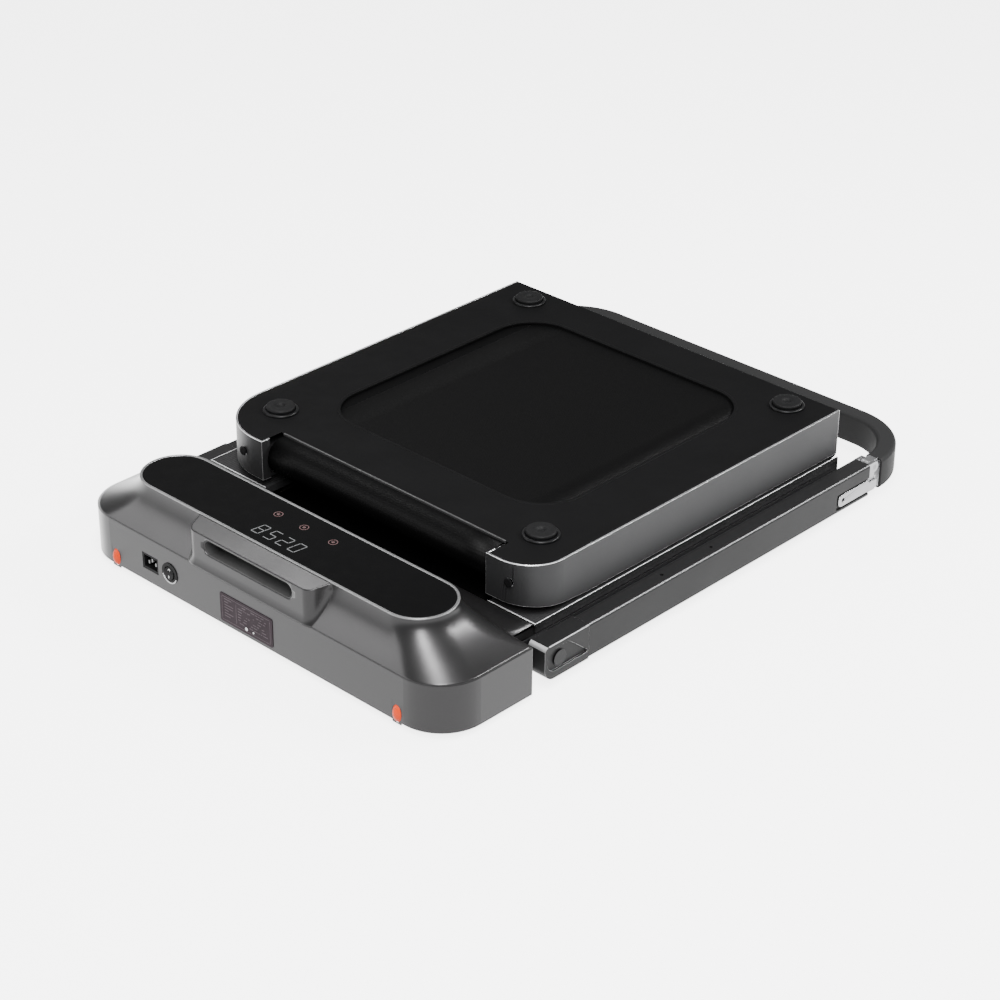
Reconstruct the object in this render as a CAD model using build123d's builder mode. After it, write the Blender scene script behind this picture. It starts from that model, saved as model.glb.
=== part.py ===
from build123d import *
import os

os.makedirs("parts", exist_ok=True)

# Folding walking treadmill, drawn folded. Millimetres, +Z up, X across the machine,
# +Y from the motor housing to the fold. The origin is on the floor under the middle
# of the folded machine. The two deck halves mirror each other about z_fold.

# ---- lengths along the machine ----
y_front = -506.0
y_housing = y_front + 165.0
y_deck = y_front + 210.0
y_horn = y_front + 206.0
y_pan = y_front + 246.0
y_fold = y_front + 850.0
y_deck_end = y_fold - 1.0
y_tube_end = y_front + 878.0
y_arm = y_front + 907.0
y_handle = y_front + 1017.0

# ---- levels ----
z_fold = 80.2
z_floor_pan = 8.0
z_trim = 77.8
z_part = 80.0
z_rim = 137.0

# ---- widths ----
half_housing = 359.0
half_deck = 319.7
half_band = 318.0
band_wall = 3.0
belt_shift = 16.0
belt_half = 212.5
channel_half = 218.0
x_channel_left = belt_shift - channel_half
x_channel_right = belt_shift + channel_half

# ---- belt and rollers ----
belt_gap = 0.3
belt_thick = 1.6
roller_r = 23.7
roller_wall = 3.7
roller_half = 214.4
axle_r = 8.5
run_clear = 0.05
z_roller = 37.4
y_front_roller = y_front + 195.0
y_rear_roller = y_front + 238.0
y_bend = y_fold - 30.0
y_return_bend = y_fold - 6.0
bulge = 36.0
bearing_wide = 12.0

# ---- feet ----
foot_x = 253.8
foot_ys = (y_front + 290.0, y_front + 808.0)
foot_r = 21.0
foot_flange_r = 26.0
foot_flange_high = 3.0
foot_chamfer = 1.2

# ---- handrail ----
tube_in = 328.6
tube_out = 358.3
tube_low = 15.0
tube_high = 67.0
tube_wall = 3.5
y_tube_near = y_front + 187.0
y_tube_seam = y_front + 272.0
y_pivot = y_front + 217.0
z_pivot = 41.0
pivot_r = 8.0
handle_thick = 29.0
handle_low = 16.5
handle_high = 64.5
handle_corner = 112.0
handle_wall = 3.0
y_lift = y_front + 893.0
z_lift = 57.0
lift_r = 4.0
latch_y = y_front + 892.0
latch_x = 353.4
latch_r = 2.5
latch_low = 24.0
latch_high = 43.0

# ---- motor housing ----
shell = 3.0
rim_half = 288.0
rim_front = y_front + 30.0
rim_back = y_front + 136.0
corner_front = 69.0
corner_back = 3.0
rim_corner = 52.9
flare_power = 1.8
flare_steps = 7
grip_half = 122.0
slot_half = 87.5
slot_low = 104.5
slot_high = 129.5
slot_deep = 27.0
wheel_x = 278.0
wheel_r = 17.0
wheel_half = 7.5
wheel_crown = 5.0
y_wheel = y_front + 12.0
z_wheel = 21.5
wheel_axle_r = 3.0
inlet_x = -203.5
inlet_z = 42.0
inlet_half = 16.5
inlet_high = 12.5
switch_x = -162.0
switch_z = 43.5
switch_r = 13.0
plate_x = -6.0
plate_z = 37.5
y_motor = y_front + 92.0
z_motor = 43.0
motor_r = 29.0
pulley_mid = -222.0
pulley_half = 9.0
motor_pulley_r = 13.0
roller_pulley_r = 25.0


def up(z):
    """The level of the rear half that matches level z of the front half."""
    return 2.0 * z_fold - z


def block(x_a, x_b, y_a, y_b, z_a, z_b, mode=Mode.ADD):
    """A square block between two corners."""
    with BuildSketch(Plane.XY.offset(z_a)) as base:
        with Locations(((x_a + x_b) / 2.0, (y_a + y_b) / 2.0)):
            Rectangle(x_b - x_a, y_b - y_a)
    extrude(base.sketch, amount=z_b - z_a, mode=mode)


def bar_x(x_a, x_b, y, z, r, mode=Mode.ADD):
    """A round bar along X."""
    with BuildSketch(Plane.YZ.offset(x_a)) as end:
        with Locations((y, z)):
            Circle(r)
    extrude(end.sketch, amount=x_b - x_a, mode=mode)


def bar_y(x, y_a, y_b, z, r, mode=Mode.ADD):
    """A round bar along Y."""
    with BuildSketch(Plane.XZ.offset(-y_a)) as end:
        with Locations((x, z)):
            Circle(r)
    extrude(end.sketch, amount=y_a - y_b, mode=mode)


def bar_z(x, y, z_a, z_b, r, mode=Mode.ADD):
    """A round bar along Z."""
    with BuildSketch(Plane.XY.offset(z_a)) as end:
        with Locations((x, y)):
            Circle(r)
    extrude(end.sketch, amount=z_b - z_a, mode=mode)


def save(part, name):
    """Label a finished piece and write it."""
    part.label = name
    export_step(part, "parts/" + name + ".step")


# =====================================================================
# Front half of the deck
# =====================================================================
rail_in = 292.0
rail_low = 14.0
rail_high = 60.0
rail_wall = 2.0
y_rail_a = y_housing + 4.0
y_rail_b = y_fold - 54.0

with BuildPart() as side_rails_front:
    for side in (-1, 1):
        x_a = min(side * rail_in, side * half_band)
        x_b = max(side * rail_in, side * half_band)
        block(x_a, x_b, y_rail_a, y_rail_b, rail_low, rail_high)
        block(x_a + rail_wall, x_b - rail_wall, y_rail_a, y_rail_b,
              rail_low + rail_wall, rail_high - rail_wall, Mode.SUBTRACT)
    # holes for the front roller's axle
    bar_x(-half_band, half_band, y_front_roller, z_roller, axle_r, Mode.SUBTRACT)
    # holes for the handrail pivots
    bar_x(-half_band, half_band, y_pivot, z_pivot, pivot_r, Mode.SUBTRACT)
save(side_rails_front.part, "side_rails_front")

cross_low = 26.0
cross_high = 50.5
cross_deep = 25.0
cross_ys = (y_front + 255.0, y_front + 520.0, y_front + 765.0)
cross_clear = 0.2

with BuildPart() as cross_tubes_front:
    for y in cross_ys:
        block(-rail_in + cross_clear, rail_in - cross_clear, y, y + cross_deep,
              cross_low, cross_high)
        block(-rail_in, rail_in, y + rail_wall, y + cross_deep - rail_wall,
              cross_low + rail_wall, cross_high - rail_wall, Mode.SUBTRACT)
save(cross_tubes_front.part, "cross_tubes_front")

# the fold hinges sit in notches at the outer corners of the foot rails
hinge_in = 262.0
hinge_out = 312.0
notch_in = hinge_in - 3.0
y_notch = y_fold - 17.0
rail_top_thick = 6.0
skirt_wall = 3.0
skirt_low = 62.0
lip_wall = 3.0
lip_low = 65.0
rail_top = z_trim - 0.8
trim_low = 71.0
trim_near_low = 73.0
trim_deep = 2.0
trim_proud = 0.3


def foot_rail(x_belt, side, z_a, z_b, z_skirt, z_lip, y_a):
    """A stepped cover beside the belt: top plate, outer skirt and inner lip."""
    x_out = side * half_band
    block(min(x_belt, x_out), max(x_belt, x_out), y_a, y_deck_end, z_a, z_b)
    x_skirt = side * (half_band - skirt_wall)
    block(min(x_skirt, x_out), max(x_skirt, x_out), y_a, y_notch,
          min(z_skirt, z_a), max(z_skirt, z_b))
    x_lip = x_belt + side * lip_wall
    block(min(x_belt, x_lip), max(x_belt, x_lip), y_a, y_deck_end,
          min(z_lip, z_a), max(z_lip, z_b))
    x_notch = side * notch_in
    x_far = side * (half_band + lip_wall)
    block(min(x_notch, x_far), max(x_notch, x_far), y_notch, y_fold,
          min(z_skirt, z_a), max(z_skirt, z_b), Mode.SUBTRACT)


with BuildPart() as foot_rails_front:
    foot_rail(x_channel_right, 1, rail_top - rail_top_thick, rail_top,
              skirt_low, lip_low, y_deck + trim_deep)
    foot_rail(x_channel_left, -1, rail_top - rail_top_thick, rail_top,
              skirt_low, lip_low, y_deck + trim_deep)
save(foot_rails_front.part, "foot_rails_front")

with BuildPart() as deck_trim_front:
    # an angle round each foot rail, along its outer side and across its near end
    for side, x_belt in ((1, x_channel_right), (-1, x_channel_left)):
        x_a = side * half_band
        x_b = side * half_deck
        block(min(x_a, x_b), max(x_a, x_b), y_deck + trim_deep, y_deck_end,
              trim_low, z_trim)
        block(min(x_belt, x_b), max(x_belt, x_b), y_deck - trim_proud, y_deck + trim_deep,
              trim_near_low, z_trim)
save(deck_trim_front.part, "deck_trim_front")

board_low = cross_high
board_high = z_roller + roller_r - belt_gap
board_thick = board_high - board_low
board_corner = 6.0
board_start = 36.0
board_side_gap = 2.0

with BuildPart() as running_board_front:
    with BuildSketch(Plane.XY.offset(board_low)):
        with Locations((belt_shift, (y_front_roller + board_start + y_bend) / 2.0)):
            RectangleRounded(2.0 * (channel_half - board_side_gap),
                             y_bend - y_front_roller - board_start, board_corner)
    extrude(amount=board_thick)
save(running_board_front.part, "running_board_front")

pan_thick = 1.6
half_pan = half_band - 1.0
y_floor_pan = y_housing + 0.5

with BuildPart() as bottom_pan:
    block(-half_pan, half_pan, y_floor_pan, y_deck_end, z_floor_pan, z_floor_pan + pan_thick)
    for side in (-1, 1):
        x_a = side * half_pan
        x_b = side * (half_pan - pan_thick)
        block(min(x_a, x_b), max(x_a, x_b), y_floor_pan, y_deck_end, z_floor_pan, rail_low)
save(bottom_pan.part, "bottom_pan")

with BuildPart() as feet_front:
    for x in (-foot_x, foot_x):
        for y in foot_ys:
            bar_z(x, y, z_floor_pan - foot_flange_high, z_floor_pan, foot_flange_r)
            bar_z(x, y, 0.0, z_floor_pan - foot_flange_high, foot_r)
    chamfer(feet_front.edges().filter_by(GeomType.CIRCLE).group_by(Axis.Z)[0], foot_chamfer)
save(feet_front.part, "feet_front")

bridge_low = 73.0
y_bridge_a = y_housing + 0.3
y_bridge_b = y_deck - 0.6

with BuildPart() as bridge_cover:
    block(-half_pan, half_pan, y_bridge_a, y_bridge_b, bridge_low, rail_top)
    for side in (-1, 1):
        x_a = side * half_pan
        x_b = side * (half_pan - skirt_wall)
        block(min(x_a, x_b), max(x_a, x_b), y_bridge_a, y_bridge_b, skirt_low, bridge_low)
save(bridge_cover.part, "bridge_cover")

# =====================================================================
# Walking belt: two flat halves and the free loops that pass through the fold
# =====================================================================
belt_in_r = roller_r + belt_gap
belt_out_r = belt_in_r + belt_thick


def belt_half_loop(y_roller, z_mid, z_work):
    """One half of the belt: two flat runs round a roller, seen from the side."""
    sign = 1.0 if z_work > z_mid else -1.0
    with BuildSketch(Plane.YZ.offset(belt_shift - belt_half)) as loop:
        with Locations((y_roller, z_mid)):
            Circle(belt_out_r)
        with Locations(((y_roller + y_bend) / 2.0, z_mid + sign * belt_out_r / 2.0)):
            Rectangle(y_bend - y_roller, belt_out_r)
        with Locations(((y_roller + y_return_bend) / 2.0, z_mid - sign * belt_out_r / 2.0)):
            Rectangle(y_return_bend - y_roller, belt_out_r)
        with Locations((y_roller, z_mid)):
            Circle(belt_in_r, mode=Mode.SUBTRACT)
        with Locations(((y_roller + y_fold) / 2.0, z_mid)):
            Rectangle(y_fold - y_roller, 2.0 * belt_in_r, mode=Mode.SUBTRACT)
    extrude(loop.sketch, amount=2.0 * belt_half)


with BuildPart() as walking_belt_front:
    belt_half_loop(y_front_roller, z_roller, z_trim)
save(walking_belt_front.part, "walking_belt_front")

with BuildPart() as walking_belt_rear:
    belt_half_loop(y_rear_roller, up(z_roller), up(z_trim))
save(walking_belt_rear.part, "walking_belt_rear")

loop_in_r = z_fold - z_roller - belt_out_r
loop_out = z_fold - z_roller + belt_out_r

with BuildPart() as belt_fold:
    # inner loop between the two walking faces
    with BuildSketch(Plane.YZ.offset(belt_shift - belt_half)):
        with Locations((y_bend, z_fold)):
            Circle(loop_in_r + belt_thick)
            Circle(loop_in_r, mode=Mode.SUBTRACT)
        with Locations((y_bend - loop_out, z_fold)):
            Rectangle(2.0 * loop_out, 3.0 * loop_out, mode=Mode.SUBTRACT)
    extrude(amount=2.0 * belt_half)
    # outer loop between the two return runs
    with BuildSketch(Plane.YZ.offset(belt_shift - belt_half)):
        with Locations((y_return_bend, z_fold)):
            Ellipse(bulge, loop_out)
            Ellipse(bulge - belt_thick, loop_out - belt_thick, mode=Mode.SUBTRACT)
        with Locations((y_return_bend - loop_out, z_fold)):
            Rectangle(2.0 * loop_out, 3.0 * loop_out, mode=Mode.SUBTRACT)
    extrude(amount=2.0 * belt_half)
save(belt_fold.part, "belt_fold")

# =====================================================================
# Rollers, motor and drive
# =====================================================================
x_roller_a = belt_shift - roller_half
x_roller_b = belt_shift + roller_half


def roller_tube(y, z):
    """The hollow barrel of a roller."""
    bar_x(x_roller_a, x_roller_b, y, z, roller_r)
    bar_x(x_roller_a, x_roller_b, y, z, roller_r - roller_wall, Mode.SUBTRACT)


def roller_bearings(y, z):
    """A bearing ring in each end of a roller."""
    for x in (x_roller_a, x_roller_b - bearing_wide):
        bar_x(x, x + bearing_wide, y, z, roller_r - roller_wall)
    bar_x(x_roller_a, x_roller_b, y, z, axle_r + run_clear, Mode.SUBTRACT)


with BuildPart() as front_roller:
    roller_tube(y_front_roller, z_roller)
save(front_roller.part, "front_roller")

with BuildPart() as front_bearings:
    roller_bearings(y_front_roller, z_roller)
save(front_bearings.part, "front_bearings")

with BuildPart() as roller_pulley:
    x_a = pulley_mid - pulley_half
    x_b = pulley_mid + pulley_half
    bar_x(x_a, x_b, y_front_roller, z_roller, roller_pulley_r)
    bar_x(x_b, x_roller_a, y_front_roller, z_roller, roller_r - roller_wall)
    bar_x(x_a, x_roller_a, y_front_roller, z_roller, axle_r + run_clear, Mode.SUBTRACT)
save(roller_pulley.part, "roller_pulley")

with BuildPart() as front_axle:
    bar_x(-half_band, half_band, y_front_roller, z_roller, axle_r)
save(front_axle.part, "front_axle")

with BuildPart() as rear_roller:
    roller_tube(y_rear_roller, up(z_roller))
save(rear_roller.part, "rear_roller")

with BuildPart() as rear_bearings:
    roller_bearings(y_rear_roller, up(z_roller))
save(rear_bearings.part, "rear_bearings")

motor_a = -190.0
motor_b = -30.0
shaft_r = 6.0
motor_wall = 3.0
rotor_gap = 0.6
rotor_r = motor_r - motor_wall - rotor_gap
cap_thick = 6.0
shaft_over = 3.0
rotor_end = 4.0

with BuildPart() as motor_can:
    bar_x(motor_a, motor_b, y_motor, z_motor, motor_r)
    bar_x(motor_a + cap_thick, motor_b - cap_thick, y_motor, z_motor,
          motor_r - motor_wall, Mode.SUBTRACT)
    bar_x(motor_a, motor_b, y_motor, z_motor, shaft_r + run_clear, Mode.SUBTRACT)
save(motor_can.part, "motor_can")

with BuildPart() as motor_rotor:
    bar_x(pulley_mid - pulley_half - shaft_over, motor_b + rotor_end, y_motor, z_motor,
          shaft_r)
    bar_x(motor_a + cap_thick + rotor_end, motor_b - cap_thick - rotor_end, y_motor,
          z_motor, rotor_r)
    bar_x(pulley_mid - pulley_half, pulley_mid + pulley_half, y_motor, z_motor,
          motor_pulley_r)
save(motor_rotor.part, "motor_rotor")

drive_thick = 2.4
drive_half = 7.5


def drive_hull(extra):
    """The outline that a belt makes round both pulleys."""
    with BuildSketch(Plane.YZ.offset(pulley_mid - drive_half)) as hull:
        with Locations((y_motor, z_motor)):
            Circle(motor_pulley_r + extra)
        with Locations((y_front_roller, z_roller)):
            Circle(roller_pulley_r + extra)
        make_hull()
    return hull.sketch


with BuildPart() as drive_belt:
    extrude(drive_hull(belt_gap + drive_thick), amount=2.0 * drive_half)
    extrude(drive_hull(belt_gap), amount=2.0 * drive_half, mode=Mode.SUBTRACT)
save(drive_belt.part, "drive_belt")

bracket_half = 34.0
bracket_low = z_floor_pan + shell
bracket_thick = 3.0
saddle_half = 26.0
saddle_wide = 20.0
saddle_end = 14.0
saddle_top = z_motor - 8.0

with BuildPart() as motor_bracket:
    # a foot plate with two saddles under the motor
    block(motor_a + cap_thick, motor_b - cap_thick, y_motor - bracket_half,
          y_motor + bracket_half, bracket_low, bracket_low + bracket_thick)
    for x in (motor_a + saddle_end, motor_b - saddle_end - saddle_wide):
        block(x, x + saddle_wide, y_motor - saddle_half, y_motor + saddle_half,
              bracket_low + bracket_thick, saddle_top)
    bar_x(motor_a, motor_b, y_motor, z_motor, motor_r, Mode.SUBTRACT)
save(motor_bracket.part, "motor_bracket")

# =====================================================================
# Motor housing
# =====================================================================


rim_wall = 4.0
rim_high = 2.0
rim_round = 1.2
base_gap = 0.3
base_chamfer = 2.0
cheek_half = 12.0
cheek_back = 22.0
cheek_top = z_wheel + 24.0
well_gap = 1.0
well_back = 19.0
well_front = 6.0
well_top = z_wheel + 18.2
belt_port_half = 16.0
grip_deep = 62.0
grip_corner = 14.0
grip_drop = 1.5


def housing_outline(z, half_x, y_a, y_b, r_a, r_b):
    """A rectangle at level z with one corner radius in front and one at the back."""
    with BuildSketch(Plane.XY.offset(z)) as plan:
        with BuildLine():
            front = Line((-half_x + r_a, y_a), (half_x - r_a, y_a))
            c1 = JernArc(front @ 1, front % 1, r_a, 90)
            right = Line(c1 @ 1, (half_x, y_b - r_b))
            c2 = JernArc(right @ 1, right % 1, r_b, 90)
            back = Line(c2 @ 1, (-half_x + r_b, y_b))
            c3 = JernArc(back @ 1, back % 1, r_b, 90)
            left = Line(c3 @ 1, (-half_x, y_a + r_a))
            JernArc(left @ 1, left % 1, r_a, 90)
        make_face()
    return plan.sketch


def flare(inset, z_drop):
    """Outlines of the flared cover, from its rim down to the parting line."""
    outlines = []
    for step in range(flare_steps + 1):
        h = step / flare_steps
        s = h ** flare_power
        outlines.append(housing_outline(
            z_rim - z_drop - h * (z_rim - z_drop - z_part),
            rim_half + s * (half_housing - rim_half) - inset,
            rim_front + s * (y_front - rim_front) + inset,
            rim_back + s * (y_housing - rim_back) - inset,
            rim_corner + s * (corner_front - rim_corner) - inset,
            rim_corner + s * (corner_back + 1.0 - rim_corner) - inset * (1.0 - 0.9 * s)))
    return outlines


with BuildPart() as housing_base:
    extrude(housing_outline(z_floor_pan, half_housing, y_front, y_housing,
                            corner_front, corner_back), amount=z_part - z_floor_pan - base_gap)
    chamfer(housing_base.edges().group_by(Axis.Z)[0], base_chamfer)
    extrude(housing_outline(z_floor_pan + shell, half_housing - shell, y_front + shell,
                            y_housing - shell, corner_front - shell, 1.0),
            amount=z_part, mode=Mode.SUBTRACT)
    # inlet, switch and drive belt openings
    block(inlet_x - inlet_half, inlet_x + inlet_half, y_front - 1.0, y_front + shell + 1.0,
          inlet_z - inlet_high, inlet_z + inlet_high, Mode.SUBTRACT)
    bar_y(switch_x, y_front - 1.0, y_front + shell + 1.0, switch_z, switch_r, Mode.SUBTRACT)
    block(pulley_mid - belt_port_half, pulley_mid + belt_port_half, y_housing - shell - 1.0,
          y_housing + 1.0, z_floor_pan + shell, z_part, Mode.SUBTRACT)
    # wheel wells and the cheeks that hold the wheel axles
    for x in (-wheel_x, wheel_x):
        block(x - cheek_half, x + cheek_half, y_front + shell - 0.5, y_wheel + cheek_back,
              z_floor_pan + shell - 0.5, cheek_top)
        block(x - wheel_half - well_gap, x + wheel_half + well_gap, y_front - well_front,
              y_wheel + well_back, 0.0, well_top, Mode.SUBTRACT)
        bar_x(x - cheek_half, x + cheek_half, y_wheel, z_wheel, wheel_axle_r, Mode.SUBTRACT)
save(housing_base.part, "housing_base")

with BuildPart() as housing_cover:
    loft(sections=flare(0.0, 0.0), ruled=True)
    loft(sections=flare(shell, shell), ruled=True, mode=Mode.SUBTRACT)
    # the seat of the display panel
    extrude(housing_outline(z_rim - shell - 1.0, rim_half - rim_wall, rim_front + rim_wall,
                            rim_back - rim_wall, rim_corner - rim_wall,
                            rim_corner - rim_wall),
            amount=shell + 2.0, mode=Mode.SUBTRACT)
    # the carrying grip: a block flush with the front, rounded at both ends
    with BuildSketch(Plane.XY.offset(z_part)) as grip_plan:
        with Locations((0.0, y_front + grip_deep / 2.0)):
            RectangleRounded(2.0 * grip_half, grip_deep, grip_corner)
        with Locations((0.0, rim_front + rim_wall + grip_deep / 2.0)):
            Rectangle(3.0 * grip_half, grip_deep, mode=Mode.SUBTRACT)
    extrude(grip_plan.sketch, amount=z_rim - grip_drop - z_part)
    with BuildSketch(Plane.XZ.offset(-y_front + 1.0)) as slot_face:
        with Locations((0.0, (slot_low + slot_high) / 2.0)):
            SlotOverall(2.0 * slot_half, slot_high - slot_low)
    extrude(slot_face.sketch, amount=-slot_deep - 1.0, mode=Mode.SUBTRACT)
save(housing_cover.part, "housing_cover")

with BuildPart() as display_rim:
    extrude(housing_outline(z_rim, rim_half, rim_front, rim_back, rim_corner, rim_corner),
            amount=rim_high)
    extrude(housing_outline(z_rim, rim_half - rim_wall, rim_front + rim_wall,
                            rim_back - rim_wall, rim_corner - rim_wall,
                            rim_corner - rim_wall), amount=rim_high, mode=Mode.SUBTRACT)
    fillet(display_rim.edges().group_by(Axis.Z)[-1], rim_round)
save(display_rim.part, "display_rim")

panel_in = rim_wall + 0.1
panel_thick = 3.6
z_panel = z_rim - 2.4
display_half = 110.0
display_thick = 1.6
digit_xs = (-60.0, -20.0, 20.0, 60.0)
digit_half = 9.0
digit_deep = 22.0

with BuildPart() as display_panel:
    extrude(housing_outline(z_panel, rim_half - panel_in, rim_front + panel_in,
                            rim_back - panel_in, rim_corner - panel_in,
                            rim_corner - panel_in), amount=panel_thick)
save(display_panel.part, "display_panel")

with BuildPart() as display_board:
    z_board = z_rim - 8.0
    block(-display_half, display_half, rim_front + 24.0, rim_back - 14.0,
          z_board, z_board + display_thick)
    for x in digit_xs:
        block(x - digit_half, x + digit_half, rim_front + 30.0,
              rim_front + 30.0 + digit_deep, z_board + display_thick, z_panel)
save(display_board.part, "display_board")

liner_wall = 2.0
liner_gap = 0.05

with BuildPart() as grip_liner:
    # a lined pocket for the fingers
    with BuildSketch(Plane.XZ.offset(-y_front - 1.0)) as liner_face:
        with Locations((0.0, (slot_low + slot_high) / 2.0)):
            SlotOverall(2.0 * (slot_half - liner_gap), slot_high - slot_low - 2.0 * liner_gap)
    extrude(liner_face.sketch, amount=-slot_deep + 1.0)
    with BuildSketch(Plane.XZ.offset(-y_front + 1.0)) as liner_hole:
        with Locations((0.0, (slot_low + slot_high) / 2.0)):
            SlotOverall(2.0 * (slot_half - liner_wall),
                        slot_high - slot_low - 2.0 * liner_wall)
    extrude(liner_hole.sketch, amount=-slot_deep + 1.0, mode=Mode.SUBTRACT)
save(grip_liner.part, "grip_liner")

control_x_a = 70.0
control_x_b = 210.0
y_control_a = y_front + 50.0
y_control_b = y_front + 130.0
control_low = 26.0
control_top = control_low + 1.6
# X, distance behind the housing front, radius and height of each round component
cans = ((92.0, 72.0, 11.0, 28.0), (118.0, 72.0, 11.0, 28.0),
        (150.0, 110.0, 6.0, 14.0), (190.0, 66.0, 5.0, 12.0))

with BuildPart() as controller_board:
    block(control_x_a, control_x_b, y_control_a, y_control_b, control_low, control_top)
    for x, y, r, high in cans:
        bar_z(x, y_front + y, control_top, control_top + high, r)
    # the transformer
    block(165.0, 200.0, y_front + 90.0, y_front + 122.0, control_top, 45.0)
save(controller_board.part, "controller_board")

sink_low = z_floor_pan + shell
sink_thick = 3.0
fin_count = 13
fin_pitch = 6.0
fin_thick = 2.0
fin_inset = 4.0

with BuildPart() as heat_sink:
    block(control_x_a, control_x_b, y_control_a, y_control_b, sink_low,
          sink_low + sink_thick)
    for step in range(fin_count):
        y = y_control_a + fin_thick + fin_pitch * step
        block(control_x_a + fin_inset, control_x_b - fin_inset, y, y + fin_thick,
              sink_low + sink_thick, control_low)
save(heat_sink.part, "heat_sink")

inlet_deep = 26.0
inlet_well = 20.0
inlet_side = 3.0
inlet_rim = 3.5
pin_half = 1.2
pin_high = 2.4
pin_front = 4.0
pin_back = 22.0

with BuildPart() as power_inlet:
    block(inlet_x - inlet_half, inlet_x + inlet_half, y_front + 0.5, y_front + inlet_deep,
          inlet_z - inlet_high, inlet_z + inlet_high)
    block(inlet_x - inlet_half + inlet_side, inlet_x + inlet_half - inlet_side,
          y_front - 1.0, y_front + inlet_well, inlet_z - inlet_high + inlet_rim,
          inlet_z + inlet_high - inlet_rim, Mode.SUBTRACT)
    for x, z in ((-7.0, -2.0), (0.0, 2.5), (7.0, -2.0)):
        block(inlet_x + x - pin_half, inlet_x + x + pin_half, y_front + pin_front,
              y_front + pin_back, inlet_z + z - pin_high, inlet_z + z + pin_high)
save(power_inlet.part, "power_inlet")

bezel_lip = 2.5
bezel_thick = 1.2
bezel_deep = 18.0
bezel_well = 14.0

with BuildPart() as switch_bezel:
    bar_y(switch_x, y_front - bezel_thick, y_front, switch_z, switch_r + bezel_lip)
    bar_y(switch_x, y_front, y_front + bezel_deep, switch_z, switch_r)
    bar_y(switch_x, y_front - 2.0, y_front + bezel_well, switch_z, switch_r - bezel_lip,
          Mode.SUBTRACT)
save(switch_bezel.part, "switch_bezel")

rocker_r = switch_r - 3.8
rocker_out = 2.4
rocker_back = 7.0
rocker_pin_r = 1.5
rocker_pin_out = 0.9
y_rocker = y_front + 3.0

with BuildPart() as switch_rocker:
    bar_y(switch_x, y_front - rocker_out, y_front + rocker_back, switch_z, rocker_r)
    # the upper half of the face slopes back
    with BuildSketch(Plane.YZ.offset(switch_x - rocker_r)) as slopes:
        with BuildLine():
            Polyline((y_front - 3.0, switch_z + 1.0), (y_front - 3.0, switch_z + rocker_r + 1.0),
                     (y_front - 0.2, switch_z + rocker_r + 1.0),
                     (y_front - rocker_out, switch_z + 1.0), close=True)
        make_face()
    extrude(slopes.sketch, amount=2.0 * rocker_r, mode=Mode.SUBTRACT)
    # the stub pins that it tilts on
    bar_x(switch_x - rocker_r - rocker_pin_out, switch_x + rocker_r + rocker_pin_out,
          y_rocker, switch_z, rocker_pin_r)
save(switch_rocker.part, "switch_rocker")

plate_wide = 104.0
plate_high = 44.0
plate_corner = 3.0
plate_thick = 0.8

with BuildPart() as data_plate:
    with BuildSketch(Plane.XZ.offset(-y_front)) as plate_face:
        with Locations((plate_x, plate_z)):
            RectangleRounded(plate_wide, plate_high, plate_corner)
    extrude(plate_face.sketch, amount=plate_thick)
save(data_plate.part, "data_plate")


def transport_wheel(x):
    """A narrow wheel with a rounded tread and a plain bore."""
    bar_x(x - wheel_half, x + wheel_half, y_wheel, z_wheel, wheel_r)
    bar_x(x - wheel_half, x + wheel_half, y_wheel, z_wheel, wheel_axle_r + run_clear,
          Mode.SUBTRACT)


with BuildPart() as wheel_left:
    transport_wheel(-wheel_x)
    fillet(wheel_left.edges().filter_by(lambda e: e.radius > wheel_axle_r + 1.0
                                        if e.geom_type == GeomType.CIRCLE else False),
           wheel_crown)
save(wheel_left.part, "wheel_left")

with BuildPart() as wheel_right:
    transport_wheel(wheel_x)
    fillet(wheel_right.edges().filter_by(lambda e: e.radius > wheel_axle_r + 1.0
                                         if e.geom_type == GeomType.CIRCLE else False),
           wheel_crown)
save(wheel_right.part, "wheel_right")

with BuildPart() as wheel_axles:
    for x in (-wheel_x, wheel_x):
        bar_x(x - cheek_half, x + cheek_half, y_wheel, z_wheel, wheel_axle_r)
save(wheel_axles.part, "wheel_axles")

# =====================================================================
# Rear half of the deck, upside down on the front half
# =====================================================================
band_low = up(z_trim)
band_high = up(z_floor_pan)
horn_corner_right = 60.0
horn_corner_left = 100.0
horn_rise = 8.0
horn_slope = 104.0
horn_inner_right = 234.0
horn_inner_left = -201.0
horn_wrap = 16.0
bolt_out = 258.0
hole_r = 5.5
bolt_reach = 30.0


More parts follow.
